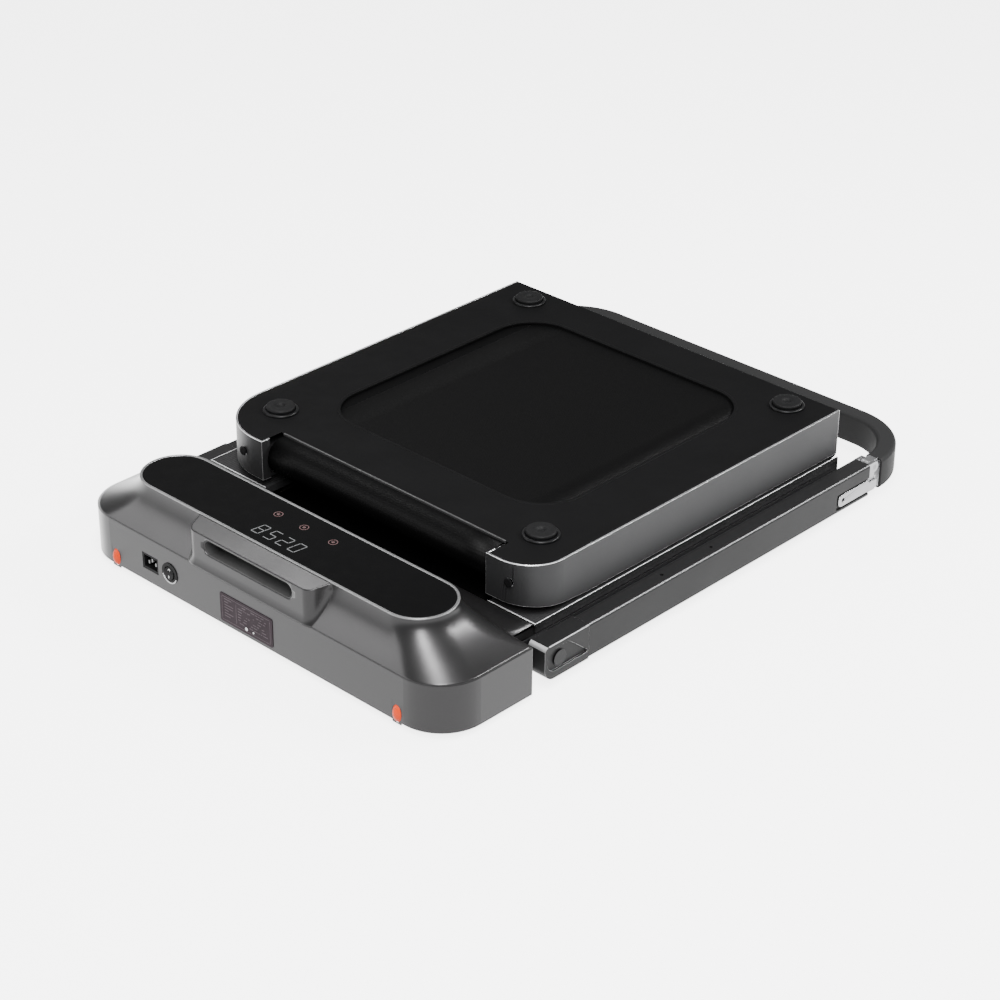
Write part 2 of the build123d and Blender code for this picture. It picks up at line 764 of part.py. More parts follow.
def horn_side(x_inner, side, x_bolt, corner):
    """A painted side of the rear half with the rounded horn at its near end."""
    wide = half_band - side * x_inner
    for inset, mode in ((0.0, Mode.ADD), (band_wall, Mode.SUBTRACT)):
        with BuildSketch(Plane.XY.offset(band_low)) as plan:
            with Locations((side * (half_band - wide / 2.0), (y_horn + y_deck_end) / 2.0)):
                Rectangle(wide - 2.0 * inset, y_deck_end - y_horn - 2.0 * inset)
            near = plan.vertices().group_by(Axis.Y)[0].sort_by(Axis.X)
            outer = near[-1] if side > 0 else near[0]
            fillet(outer, corner - inset)
        extrude(plan.sketch, amount=band_high - band_low, mode=mode)
    # the inner wall only wraps a short way, and the fold end is open
    x_cut = x_inner - side * 1.0
    x_wrap = x_inner + side * (band_wall + 1.0)
    x_far = side * (half_band - band_wall)
    block(min(x_cut, x_wrap), max(x_cut, x_wrap), y_horn + horn_wrap, y_deck_end + 1.0,
          band_low - 1.0, band_high + 1.0, Mode.SUBTRACT)
    block(min(x_cut, x_far), max(x_cut, x_far), y_deck_end - band_wall - 1.0,
          y_deck_end + 1.0, band_low - 1.0, band_high + 1.0, Mode.SUBTRACT)
    bar_y(x_bolt, y_horn - 1.0, y_horn + bolt_reach, up(z_roller), hole_r, Mode.SUBTRACT)
    # the standing face slopes away towards the roller
    with BuildSketch(Plane.YZ.offset(-half_band - 1.0)) as slope:
        with BuildLine():
            Polyline((y_horn - 1.0, band_low - 1.0), (y_horn - 1.0, band_low + horn_rise),
                     (y_horn + horn_slope, band_low), (y_horn + horn_slope, band_low - 1.0),
                     close=True)
        make_face()
    extrude(slope.sketch, amount=2.0 * half_band + 2.0, mode=Mode.SUBTRACT)


with BuildPart() as rear_side_right:
    horn_side(horn_inner_right, 1, belt_shift + bolt_out, horn_corner_right)
save(rear_side_right.part, "rear_side_right")

with BuildPart() as rear_side_left:
    horn_side(horn_inner_left, -1, belt_shift - bolt_out, horn_corner_left)
save(rear_side_left.part, "rear_side_left")

skin_high = band_high - 0.4
skin_low = skin_high - 2.0
window_half = 218.0
y_window_a = y_front + 335.0
y_window_b = y_front + 775.0
window_corner = 67.0
skin_gap = 0.3

with BuildPart() as rear_pan:
    with BuildSketch(Plane.XY.offset(skin_low)) as skin:
        with Locations((0.0, (y_horn + y_deck_end + band_wall) / 2.0)):
            Rectangle(2.0 * (half_band - band_wall - skin_gap),
                      y_deck_end - y_horn - band_wall - skin_gap)
        near = skin.vertices().group_by(Axis.Y)[0].sort_by(Axis.X)
        fillet(near[0], horn_corner_left - band_wall)
        near = skin.vertices().group_by(Axis.Y)[0].sort_by(Axis.X)
        fillet(near[-1], horn_corner_right - band_wall)
        with Locations(((horn_inner_left + horn_inner_right) / 2.0, y_horn)):
            Rectangle(horn_inner_right - horn_inner_left + 2.0 * (band_wall + skin_gap),
                      2.0 * (y_pan - y_horn), mode=Mode.SUBTRACT)
        with Locations((0.0, (y_window_a + y_window_b) / 2.0)):
            RectangleRounded(2.0 * window_half, y_window_b - y_window_a, window_corner,
                             mode=Mode.SUBTRACT)
    extrude(skin.sketch, amount=skin_high - skin_low)
save(rear_pan.part, "rear_pan")

with BuildPart() as side_rails_rear:
    for side in (-1, 1):
        x_a = min(side * rail_in, side * (half_band - band_wall))
        x_b = max(side * rail_in, side * (half_band - band_wall))
        block(x_a, x_b, y_horn + horn_slope + 1.0, y_rail_b, up(rail_high), up(rail_low))
        block(x_a + rail_wall, x_b - rail_wall, y_horn + horn_slope + 1.0, y_rail_b,
              up(rail_high) + rail_wall, up(rail_low) - rail_wall, Mode.SUBTRACT)
save(side_rails_rear.part, "side_rails_rear")

y_first_cross = y_front + 290.0

with BuildPart() as cross_tubes_rear:
    for y in cross_ys[1:] + (y_first_cross,):
        block(-rail_in + cross_clear, rail_in - cross_clear, y, y + cross_deep,
              up(cross_high), up(cross_low))
        block(-rail_in, rail_in, y + rail_wall, y + cross_deep - rail_wall,
              up(cross_high) + rail_wall, up(cross_low) - rail_wall, Mode.SUBTRACT)
save(cross_tubes_rear.part, "cross_tubes_rear")

foot_rail_low = up(rail_top)
y_cap = y_horn + band_wall + skin_gap
y_cap_end = y_horn + horn_slope
cap_plate = 5.0
rail_relief = 1.0


def horn_cap(side, x_wall, corner):
    """A sloped plate that closes the standing face of a horn, inside its walls."""
    x_in = x_wall + side * (band_wall + skin_gap)
    x_out = side * (half_band - band_wall - skin_gap)
    with BuildPart(mode=Mode.PRIVATE) as cap:
        with BuildSketch(Plane.YZ.offset(min(x_in, x_out))) as profile:
            with BuildLine():
                Polyline((y_cap, foot_rail_low + horn_rise), (y_cap_end, foot_rail_low),
                         (y_cap_end, foot_rail_low + cap_plate),
                         (y_cap, foot_rail_low + horn_rise + cap_plate), close=True)
            make_face()
        extrude(profile.sketch, amount=abs(x_out - x_in))
        with BuildSketch(Plane.XY.offset(band_low)) as plan:
            with Locations(((x_in + x_out) / 2.0, (y_cap + y_cap_end) / 2.0)):
                Rectangle(abs(x_out - x_in), y_cap_end - y_cap)
            near = plan.vertices().group_by(Axis.Y)[0].sort_by(Axis.X)
            fillet(near[-1] if side > 0 else near[0],
                   min(corner - band_wall - skin_gap, abs(x_out - x_in) - 1.0,
                       y_cap_end - y_cap - 1.0))
        extrude(plan.sketch, amount=band_high - band_low, mode=Mode.INTERSECT)
    add(cap.part)


with BuildPart() as foot_rails_rear:
    for side, x_belt in ((1, x_channel_right + rail_relief), (-1, x_channel_left - rail_relief)):
        x_out = side * (half_band - band_wall - skin_gap)
        block(min(x_belt, x_out), max(x_belt, x_out), y_cap_end, y_deck_end,
              foot_rail_low, foot_rail_low + rail_top_thick)
        x_lip = x_belt + side * lip_wall
        block(min(x_belt, x_lip), max(x_belt, x_lip), y_cap_end, y_deck_end,
              foot_rail_low + rail_top_thick, up(lip_low))
        x_notch = side * notch_in
        block(min(x_notch, x_out + side), max(x_notch, x_out + side), y_notch, y_fold,
              foot_rail_low - 1.0, up(skirt_low), Mode.SUBTRACT)
    horn_cap(1, horn_inner_right, horn_corner_right)
    horn_cap(-1, horn_inner_left, horn_corner_left)
save(foot_rails_rear.part, "foot_rails_rear")

with BuildPart() as running_board_rear:
    with BuildSketch(Plane.XY.offset(up(board_high))) as board_plan:
        with Locations((belt_shift, (y_rear_roller + board_start + y_bend) / 2.0)):
            RectangleRounded(2.0 * (channel_half - board_side_gap),
                             y_bend - y_rear_roller - board_start, board_corner)
    extrude(board_plan.sketch, amount=board_thick)
save(running_board_rear.part, "running_board_rear")

block_y = 15.0
block_z = 13.0
bolt_r = 4.0
y_bolt = y_horn + 9.5
block_back = 52.0
block_gap = 8.0
block_half = 20.0
y_block_step = y_rear_roller + 18.0
rear_axle_left = belt_shift - bolt_out - 16.0
rear_axle_right = belt_shift + bolt_out + 14.0
bolt_head_r = bolt_r + 3.0
bolt_head = 5.0
key_r = 3.0
key_deep = 3.0

with BuildPart() as rear_axle:
    bar_x(rear_axle_left, rear_axle_right, y_rear_roller, up(z_roller), axle_r)
save(rear_axle.part, "rear_axle")

with BuildPart() as axle_blocks:
    # a block round each axle end, and a wider foot that meets the first cross tube
    for x_bolt, x_face, x_rail in (
            (belt_shift - bolt_out, x_roller_a - block_gap, -rail_in),
            (belt_shift + bolt_out, x_roller_b + block_gap, rail_in)):
        side = 1.0 if x_rail > 0.0 else -1.0
        x_end = side * min(side * x_bolt + block_half, rail_in)
        block(min(x_face, x_end), max(x_face, x_end), y_rear_roller - block_y,
              y_rear_roller + block_back, up(z_roller) - block_z, up(z_roller) + block_z)
        block(min(x_face, x_rail), max(x_face, x_rail), y_block_step,
              y_rear_roller + block_back, up(z_roller) - block_z, up(z_roller) + block_z)
    bar_x(rear_axle_left, rear_axle_right, y_rear_roller, up(z_roller), axle_r,
          Mode.SUBTRACT)
    for x in (belt_shift - bolt_out, belt_shift + bolt_out):
        bar_y(x, y_rear_roller - block_y - 1.0, y_rear_roller, up(z_roller), bolt_r,
              Mode.SUBTRACT)
save(axle_blocks.part, "axle_blocks")

with BuildPart() as tension_bolts:
    for x in (belt_shift - bolt_out, belt_shift + bolt_out):
        bar_y(x, y_bolt + 2.0, y_rear_roller - axle_r, up(z_roller), bolt_r)
        bar_y(x, y_bolt, y_bolt + bolt_head, up(z_roller), bolt_head_r)
        with BuildSketch(Plane.XZ.offset(-y_bolt + 1.0)) as key:
            with Locations((x, up(z_roller))):
                RegularPolygon(key_r, 6)
        extrude(key.sketch, amount=-1.0 - key_deep, mode=Mode.SUBTRACT)
save(tension_bolts.part, "tension_bolts")

with BuildPart() as feet_rear:
    for x in (-foot_x, foot_x):
        for y in foot_ys:
            bar_z(x, y, skin_high, band_high + foot_flange_high, foot_flange_r)
            bar_z(x, y, band_high + foot_flange_high, up(0.0), foot_r)
    chamfer(feet_rear.edges().filter_by(GeomType.CIRCLE).group_by(Axis.Z)[-1], foot_chamfer)
save(feet_rear.part, "feet_rear")

# =====================================================================
# Fold hinges
# =====================================================================
knuckle_r = 7.0
knuckle_gap = 0.3
hinge_pin_r = 4.0
leaf_deep = 58.0
leaf_thick = 3.9
leaf_gap = 2.0
arm_deep = 11.0
pin_over = 1.5
splits = (hinge_in, hinge_in + 14.0, hinge_out - 14.0, hinge_out)


def hinge_half(sign, spans, bore):
    """One half of a fold hinge: a flat leaf, an arm and its knuckles."""
    z_leaf = z_fold - sign * (z_fold - rail_high)
    z_top = z_leaf + sign * leaf_thick
    for side in (-1, 1):
        block(min(side * hinge_in, side * hinge_out), max(side * hinge_in, side * hinge_out),
              y_fold - leaf_deep, y_fold - leaf_gap, min(z_leaf, z_top), max(z_leaf, z_top))
        for x_near, x_far in spans:
            x_a = min(side * x_near, side * x_far)
            x_b = max(side * x_near, side * x_far)
            block(x_a, x_b, y_fold - leaf_gap - arm_deep, y_fold - leaf_gap,
                  min(z_leaf, z_fold), max(z_leaf, z_fold))
            bar_x(x_a, x_b, y_fold, z_fold, knuckle_r)
        bar_x(-hinge_out, hinge_out, y_fold, z_fold, bore, Mode.SUBTRACT)


with BuildPart() as hinge_bases:
    hinge_half(1.0, ((splits[0], splits[1]), (splits[2], splits[3])), hinge_pin_r)
save(hinge_bases.part, "hinge_bases")

with BuildPart() as hinge_leaves:
    hinge_half(-1.0, ((splits[1] + knuckle_gap, splits[2] - knuckle_gap),),
               hinge_pin_r + run_clear)
save(hinge_leaves.part, "hinge_leaves")

with BuildPart() as hinge_pins:
    for side in (-1, 1):
        x_a = side * (hinge_in - pin_over)
        x_b = side * (hinge_out + pin_over)
        bar_x(min(x_a, x_b), max(x_a, x_b), y_fold, z_fold, hinge_pin_r)
save(hinge_pins.part, "hinge_pins")

# =====================================================================
# Handrail
# =====================================================================
tube_corner = 4.0
end_corner = 18.0
latch_pocket = 2.4
y_pocket = y_front + 802.0
pocket_edge = 3.0
adjust_ys = (y_front + 433.0, y_front + 536.0)
adjust_r = 2.6


def tube_spans():
    """The X span of the left and the right tube."""
    return ((-tube_out, -tube_in), (tube_in, tube_out))


with BuildPart() as rail_tubes:
    for x_a, x_b in tube_spans():
        block(x_a, x_b, y_tube_seam, y_tube_end, tube_low, tube_high)
    fillet(rail_tubes.edges().filter_by(Axis.Y), tube_corner)
    for x_a, x_b in tube_spans():
        block(x_a + tube_wall, x_b - tube_wall, y_tube_seam, y_tube_end,
              tube_low + tube_wall, tube_high - tube_wall, Mode.SUBTRACT)
        for y in adjust_ys:
            bar_z((x_a + x_b) / 2.0, y, tube_high - tube_wall - 1.0, tube_high + 1.0,
                  adjust_r, Mode.SUBTRACT)
    # the shallow pockets that the latch levers lie in
    for side in (-1, 1):
        x_in = side * (tube_out - latch_pocket)
        x_far = side * (tube_out + 1.0)
        block(min(x_in, x_far), max(x_in, x_far), y_pocket, y_tube_end + 1.0,
              latch_low - pocket_edge, latch_high + pocket_edge, Mode.SUBTRACT)
save(rail_tubes.part, "rail_tubes")

tear_deep = 3.0
tear_r = 16.5
y_tear = y_tube_near + 21.0
z_tear = 42.5
y_tear_tip = y_tube_seam - 4.0
# the rest of the recess's outline, clockwise from the top of its round end
tear_points = ((y_tear, z_tear + tear_r), (y_tear + 22.0, z_tear + tear_r + 1.5),
               (y_tear + 29.0, z_tear + tear_r - 2.0), (y_tear_tip, 31.0),
               (y_tear_tip, 27.0), (y_tear, z_tear - tear_r))
seam_gap = 0.6
end_corner_top = 8.0
spigot_in = tube_wall + 0.1
spigot_start = 1.0
spigot_deep = 22.0

with BuildPart() as rail_ends:
    for x_a, x_b in tube_spans():
        with BuildSketch(Plane.YZ.offset(x_a)) as cheek:
            with Locations(((y_tube_near + y_tube_seam) / 2.0, (tube_low + tube_high) / 2.0)):
                Rectangle(y_tube_seam - y_tube_near - seam_gap, tube_high - tube_low)
            near = cheek.vertices().group_by(Axis.X)[0].sort_by(Axis.Y)
            fillet(near[0], end_corner)
            near = cheek.vertices().group_by(Axis.X)[0].sort_by(Axis.Y)
            fillet(near[-1], end_corner_top)
        extrude(cheek.sketch, amount=x_b - x_a)
        block(x_a + spigot_in, x_b - spigot_in, y_tube_seam - spigot_start,
              y_tube_seam + spigot_deep, tube_low + spigot_in, tube_high - spigot_in)
    for side in (-1, 1):
        with BuildSketch(Plane.YZ.offset(side * tube_out)) as tear:
            with Locations((y_tear, z_tear)):
                Circle(tear_r)
            with BuildLine():
                Polyline(*tear_points, close=True)
            make_face()
        extrude(tear.sketch, amount=-side * tear_deep, mode=Mode.SUBTRACT)
    bar_x(-tube_out - 1.0, tube_out + 1.0, y_pivot, z_pivot, pivot_r + run_clear,
          Mode.SUBTRACT)
save(rail_ends.part, "rail_ends")

bracket_gap = 0.5
pivot_half_y = 16.0
pivot_half_z = 19.0
cap_gap = 0.3
cap_sunk = 0.6
cap_lip = 3.5

with BuildPart() as pivot_brackets:
    for side in (-1, 1):
        x_a = side * half_band
        x_b = side * (tube_in - bracket_gap)
        block(min(x_a, x_b), max(x_a, x_b), y_pivot - pivot_half_y, y_pivot + pivot_half_y,
              z_pivot - pivot_half_z, z_pivot + pivot_half_z)
    bar_x(-tube_out, tube_out, y_pivot, z_pivot, pivot_r, Mode.SUBTRACT)
save(pivot_brackets.part, "pivot_brackets")

with BuildPart() as pivot_pins:
    for side in (-1, 1):
        x_a = side * (rail_in + rail_wall)
        x_b = side * (tube_out - tear_deep)
        bar_x(min(x_a, x_b), max(x_a, x_b), y_pivot, z_pivot, pivot_r)
        x_c = side * (tube_out - tear_deep + cap_gap)
        x_d = side * (tube_out - cap_sunk)
        bar_x(min(x_b, x_d), max(x_b, x_d), y_pivot, z_pivot, pivot_r)
        bar_x(min(x_c, x_d), max(x_c, x_d), y_pivot, z_pivot, pivot_r + cap_lip)
save(pivot_pins.part, "pivot_pins")

plug_deep = 30.0
plug_in = 3.6
plug_out = 4.0
ear = 5.0
ear_low = 44.0
ear_high = 65.6
ear_x_in = tube_in + 0.4
ear_x_out = tube_out - 2.6
y_ear = y_tube_end + 0.2
knuckle_x = latch_x - 5.0
knuckle_end = 4.5
knuckle_low = latch_low - 4.0
lever_gap = 0.3
lever_knuckle_top = 38.0
latch_pin_top = 43.0

with BuildPart() as fold_brackets:
    for side in (-1, 1):
        x_in = side * (tube_in + plug_in)
        x_out = side * (tube_out - plug_in)
        block(min(x_in, x_out), max(x_in, x_out), y_tube_end - plug_deep,
              y_tube_end + plug_out, tube_low + plug_in, tube_high - plug_in)
        for x_near, x_far in ((ear_x_in, ear_x_in + ear), (ear_x_out - ear, ear_x_out)):
            x_a = min(side * x_near, side * x_far)
            x_b = max(side * x_near, side * x_far)
            block(x_a, x_b, y_ear, y_lift, ear_low, ear_high)
            bar_x(x_a, x_b, y_lift, z_lift, ear_high - z_lift)
        # the knuckles that carry the latch lever's pin
        x_a = min(side * knuckle_x, side * ear_x_out)
        x_b = max(side * knuckle_x, side * ear_x_out)
        block(x_a, x_b, y_ear, latch_y + knuckle_end, knuckle_low, latch_low - lever_gap)
        block(x_a, x_b, y_ear, latch_y + knuckle_end, lever_knuckle_top + lever_gap, ear_low)
        block(x_a, x_b, y_ear, y_tube_end + plug_out, knuckle_low, ear_low)
        bar_x(-tube_out, tube_out, y_lift, z_lift, lift_r, Mode.SUBTRACT)
        bar_z(side * latch_x, latch_y, knuckle_low - 1.0, latch_pin_top, latch_r,
              Mode.SUBTRACT)
save(fold_brackets.part, "fold_brackets")

with BuildPart() as fold_pins:
    for side in (-1, 1):
        x_a = min(side * ear_x_in, side * ear_x_out)
        x_b = max(side * ear_x_in, side * ear_x_out)
        bar_x(x_a, x_b, y_lift, z_lift, lift_r)
        bar_z(side * latch_x, latch_y, knuckle_low, latch_pin_top, latch_r)
save(fold_pins.part, "fold_pins")

lever_thick = 2.2
lever_proud = 0.2
y_lever = y_front + 806.0
lever_corner = 8.0
lever_hole_r = 3.4
lever_knuckle_r = 4.2


def latch_lever(side):
    """A flat lever with a knuckle at the far end and a finger hole at the near end."""
    x_out = side * (tube_out + lever_proud)
    x_in = side * (tube_out + lever_proud - lever_thick)
    z_mid = (latch_low + latch_high) / 2.0
    with BuildSketch(Plane.YZ.offset(min(x_in, x_out))) as face:
        with Locations(((y_lever + latch_y) / 2.0, z_mid)):
            Rectangle(latch_y - y_lever, latch_high - latch_low)
        fillet(face.vertices().group_by(Axis.X)[0], lever_corner)
        with Locations((y_lever + 11.0, z_mid)):
            Circle(lever_hole_r, mode=Mode.SUBTRACT)
    extrude(face.sketch, amount=lever_thick)
    block(min(side * latch_x, x_out), max(side * latch_x, x_out), latch_y - lever_knuckle_r,
          latch_y + lever_knuckle_r, latch_low, lever_knuckle_top)
    bar_z(side * latch_x, latch_y, latch_low, lever_knuckle_top, lever_knuckle_r)
    # the upper part of the lever stops short of the knuckle
    block(min(x_in, x_out) - 1.0, max(x_in, x_out) + 1.0, y_tube_end - 2.0, latch_y + 5.0,
          lever_knuckle_top, latch_high + 1.0, Mode.SUBTRACT)
    bar_z(side * latch_x, latch_y, latch_low - 1.0, lever_knuckle_top + 1.0,
          latch_r + run_clear, Mode.SUBTRACT)


with BuildPart() as latch_left:
    latch_lever(-1)
save(latch_left.part, "latch_left")

with BuildPart() as latch_right:
    latch_lever(1)
save(latch_right.part, "latch_right")

handle_out = tube_out - 0.2
handle_in = handle_out - handle_thick
handle_blank = 200.0
handle_edge = 6.0

with BuildPart() as handle_bar:
    for inset, mode in ((0.0, Mode.ADD), (handle_wall, Mode.SUBTRACT)):
        with BuildSketch(Plane.XY.offset(handle_low + inset)) as plan:
            with Locations((0.0, y_handle - inset - handle_blank / 2.0)):
                Rectangle(2.0 * (handle_out - inset), handle_blank)
            fillet(plan.vertices().group_by(Axis.Y)[-1], handle_corner - inset)
            with BuildSketch(mode=Mode.PRIVATE) as hollow:
                with Locations((0.0, y_handle - handle_thick + inset - handle_blank / 2.0)):
                    Rectangle(2.0 * (handle_in + inset), handle_blank)
                fillet(hollow.vertices().group_by(Axis.Y)[-1],
                       handle_corner - handle_thick + inset)
            add(hollow.sketch, mode=Mode.SUBTRACT)
            with Locations((0.0, y_arm - handle_blank / 2.0)):
                Rectangle(3.0 * handle_out, handle_blank, mode=Mode.SUBTRACT)
        extrude(plan.sketch, amount=handle_high - handle_low - 2.0 * inset, mode=mode)
        if mode == Mode.ADD:
            rims = handle_bar.edges().group_by(Axis.Z)
            long_edges = [e for e in rims[0] + rims[-1] if e.center().Y > y_arm + 1.0]
            fillet(long_edges, handle_edge)
save(handle_bar.part, "handle_bar")

lug_half = 8.0
lug_low = 48.0
lug_high = 64.0
lug_r = 8.0
plug_side_gap = 0.9
arm_plug_deep = 9.0

with BuildPart() as handle_lugs:
    for side in (-1, 1):
        x_mid = side * (ear_x_in + ear_x_out) / 2.0
        block(x_mid - lug_half, x_mid + lug_half, y_lift, y_arm, lug_low, lug_high)
        bar_x(x_mid - lug_half, x_mid + lug_half, y_lift, z_lift, lug_r)
        # the plug inside the arm of the handle
        x_a = side * (handle_in + handle_wall + plug_side_gap)
        x_b = side * (handle_out - handle_wall - plug_side_gap)
        block(min(x_a, x_b), max(x_a, x_b), y_arm, y_arm + arm_plug_deep,
              handle_low + handle_wall + 0.1, handle_high - handle_wall - 0.1)
        bar_x(-tube_out, tube_out, y_lift, z_lift, lift_r + run_clear, Mode.SUBTRACT)
save(handle_lugs.part, "handle_lugs")
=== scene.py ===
import math

import bmesh
import bpy
import numpy as np
from mathutils import Matrix, Vector


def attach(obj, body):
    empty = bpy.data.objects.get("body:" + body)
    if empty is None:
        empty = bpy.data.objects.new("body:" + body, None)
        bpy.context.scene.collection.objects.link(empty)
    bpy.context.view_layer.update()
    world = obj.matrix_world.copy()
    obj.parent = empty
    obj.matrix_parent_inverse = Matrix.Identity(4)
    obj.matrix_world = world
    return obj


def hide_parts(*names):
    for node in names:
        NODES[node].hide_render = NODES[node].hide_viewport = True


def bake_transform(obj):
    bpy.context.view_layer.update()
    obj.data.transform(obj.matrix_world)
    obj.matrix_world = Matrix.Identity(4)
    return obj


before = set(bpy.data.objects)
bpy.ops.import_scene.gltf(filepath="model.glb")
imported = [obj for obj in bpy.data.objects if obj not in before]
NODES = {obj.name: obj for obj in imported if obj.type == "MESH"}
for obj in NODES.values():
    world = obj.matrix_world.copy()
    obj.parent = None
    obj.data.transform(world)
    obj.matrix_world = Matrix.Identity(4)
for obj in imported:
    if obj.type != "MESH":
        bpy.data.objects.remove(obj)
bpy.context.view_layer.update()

MM = 0.001
Y0 = -0.506          # the front of the housing
Z_FOLD = 0.0802      # the plane that the two halves mirror in
BELT_X, BELT_HALF = 0.016, 0.2125


# ---------------------------------------------------------------- camera and light
def set_camera():
    az, el, roll = math.radians(43.56), math.radians(29.28), math.radians(0.39)
    fwd = Vector((-math.sin(az) * math.cos(el), math.cos(az) * math.cos(el), -math.sin(el)))
    right = fwd.cross(Vector((0, 0, 1))).normalized()
    up = right.cross(fwd)
    r2 = right * math.cos(roll) + up * math.sin(roll)
    u2 = up * math.cos(roll) - right * math.sin(roll)
    cam = bpy.data.cameras.new("camera")
    cam.lens = 93.98
    cam.sensor_width = 36.0
    cam.clip_end = 30.0
    obj = bpy.data.objects.new("camera", cam)
    m = Matrix((r2, u2, -fwd)).transposed().to_4x4()
    m.translation = Vector((2.2564, -1.8944 + Y0, 1.865))
    obj.matrix_world = m
    bpy.context.scene.collection.objects.link(obj)
    bpy.context.scene.camera = obj


def area_light(name, toward, distance, size_x, size_y, radiance, aim=(0, -0.1, 0.1)):
    """A soft box in the given direction from the object, aimed back at it."""
    light = bpy.data.lights.new(name, "AREA")
    light.shape = "RECTANGLE"
    light.size, light.size_y = size_x, size_y
    light.energy = radiance * math.pi * size_x * size_y
    obj = bpy.data.objects.new(name, light)
    place = Vector(aim) + Vector(toward).normalized() * distance
    obj.location = place
    obj.rotation_euler = (Vector(aim) - place).to_track_quat("-Z", "Y").to_euler()
    bpy.context.scene.collection.objects.link(obj)


def set_lights():
    world = bpy.data.worlds.new("studio")
    world.use_nodes = True
    bg = world.node_tree.nodes["Background"]
    bg.inputs["Color"].default_value = (1, 1, 1, 1)
    bg.inputs["Strength"].default_value = 0.8
    bpy.context.scene.world = world
    area_light("behind_camera", (0.46, -0.48, 0.75), 4.6, 0.8, 2.6, 130, (0.3, -0.4, 0.1))
    area_light("overhead", (0.15, -0.16, 0.97), 2.8, 0.42, 1.6, 115, (0.3, -0.4, 0.1))
    area_light("front_left", (-0.62, -0.68, 0.40), 2.6, 1.9, 1.5, 12, (0, -0.45, 0.1))
    area_light("over_left", (-0.60, 0.30, 0.74), 2.6, 0.7, 0.5, 30, (0, -0.45, 0.13))
    area_light("back_right", (0.47, 0.63, 0.60), 2.8, 1.7, 0.28, 165, (0.3, -0.2, 0.1))


# ---------------------------------------------------------------- mesh helpers
def mesh_object(name, verts, faces, smooth=True, fix=True):
    mesh = bpy.data.meshes.new(name)
    mesh.from_pydata([tuple(v) for v in verts], [], faces)
    mesh.validate()
    if fix:
        bm = bmesh.new()
        bm.from_mesh(mesh)
        bmesh.ops.recalc_face_normals(bm, faces=bm.faces)
        bm.to_mesh(mesh)
        bm.free()
    obj = bpy.data.objects.new(name, mesh)
    bpy.context.scene.collection.objects.link(obj)
    for p in mesh.polygons:
        p.use_smooth = smooth
    return obj


def piece(obj, material, body):
    """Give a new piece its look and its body."""
    if not obj.data.materials:
        obj.data.materials.append(M[material])
    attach(obj, body)
    return obj


def soften(obj, width, segments=2, angle=35.0, painted_highlight_material=None):
    """Weld the tessellated CAD mesh, round its edges and shade it smooth; the rounded edges can
    take a light material as a painted highlight.
    """
    weld = obj.modifiers.new("weld", "WELD")
    weld.merge_threshold = 0.00002
    bev = obj.modifiers.new("edge", "BEVEL")
    bev.width = width
    bev.segments = segments
    bev.limit_method = "ANGLE"
    bev.angle_limit = math.radians(angle)
    bev.use_clamp_overlap = True
    # the bevel faces get the light material: a painted highlight along every rounded edge
    if painted_highlight_material:
        obj.data.materials.append(M[painted_highlight_material])
        bev.material = 1
    for p in obj.data.polygons:
        p.use_smooth = True
    auto = obj.modifiers.new("normals", "WEIGHTED_NORMAL")
    auto.mode = "FACE_AREA_WITH_ANGLE"
    auto.weight = 100
    auto.keep_sharp = False


def arc(cx, cy, r, a0, a1, n):
    return [(cx + r * math.cos(a0 + (a1 - a0) * i / n), cy + r * math.sin(a0 + (a1 - a0) * i / n))
            for i in range(n + 1)]


def round_rect(x_a, x_b, y_a, y_b, r, n=10):
    q = math.pi / 2
    r = max(r, 0.0002)
    return (arc(x_b - r, y_a + r, r, -q, 0, n) + arc(x_b - r, y_b - r, r, 0, q, n)
            + arc(x_a + r, y_b - r, r, q, 2 * q, n) + arc(x_a + r, y_a + r, r, 2 * q, 3 * q, n))


def ring_sweep(name, outlines, closed=True, smooth=True):
    """Join equal outlines, each a list of 3-D points, into one surface."""
    n = len(outlines[0])
    verts = [p for ring in outlines for p in ring]
    faces = []
    last = len(outlines) if closed else len(outlines) - 1
    for k in range(last):
        a, b = k * n, ((k + 1) % len(outlines)) * n
        for i in range(n):
            j = (i + 1) % n
            faces.append((a + i, b + i, b + j, a + j))
    if not closed:
        faces.append(tuple(range(n - 1, -1, -1)))
        faces.append(tuple(range((len(outlines) - 1) * n, len(outlines) * n)))
    return mesh_object(name, verts, faces, smooth)


def lathe(parts, axis, centre, profile, n=40):
    """Add a turned shape to parts = (verts, faces); profile is (radius, along) pairs."""
    verts, faces = parts
    base = len(verts)
    cx, cy, cz = centre
    for r, h in profile:
        for i in range(n):
            a = 2 * math.pi * i / n
            c, s = r * math.cos(a), r * math.sin(a)
            verts.append({"x": (cx + h, cy + c, cz + s), "y": (cx + c, cy + h, cz + s),
                          "z": (cx + c, cy + s, cz + h)}[axis])
    for k in range(len(profile) - 1):
        for i in range(n):
            j = (i + 1) % n
            faces.append((base + k * n + i, base + (k + 1) * n + i,
                          base + (k + 1) * n + j, base + k * n + j))
    faces.append(tuple(base + i for i in range(n - 1, -1, -1)))
    end = base + (len(profile) - 1) * n
    faces.append(tuple(end + i for i in range(n)))


def box(parts, x_a, x_b, y_a, y_b, z_a, z_b):
    verts, faces = parts
    b = len(verts)
    verts += [(x_a, y_a, z_a), (x_b, y_a, z_a), (x_b, y_b, z_a), (x_a, y_b, z_a),
              (x_a, y_a, z_b), (x_b, y_a, z_b), (x_b, y_b, z_b), (x_a, y_b, z_b)]
    faces += [(b + 3, b + 2, b + 1, b), (b + 4, b + 5, b + 6, b + 7), (b, b + 1, b + 5, b + 4),
              (b + 1, b + 2, b + 6, b + 5), (b + 2, b + 3, b + 7, b + 6), (b + 3, b, b + 4, b + 7)]


def bake(obj):
    """Replace the object's mesh by its modified mesh."""
    dg = bpy.context.evaluated_depsgraph_get()
    done = bpy.data.meshes.new_from_object(obj.evaluated_get(dg))
    obj.modifiers.clear()
    obj.data = done


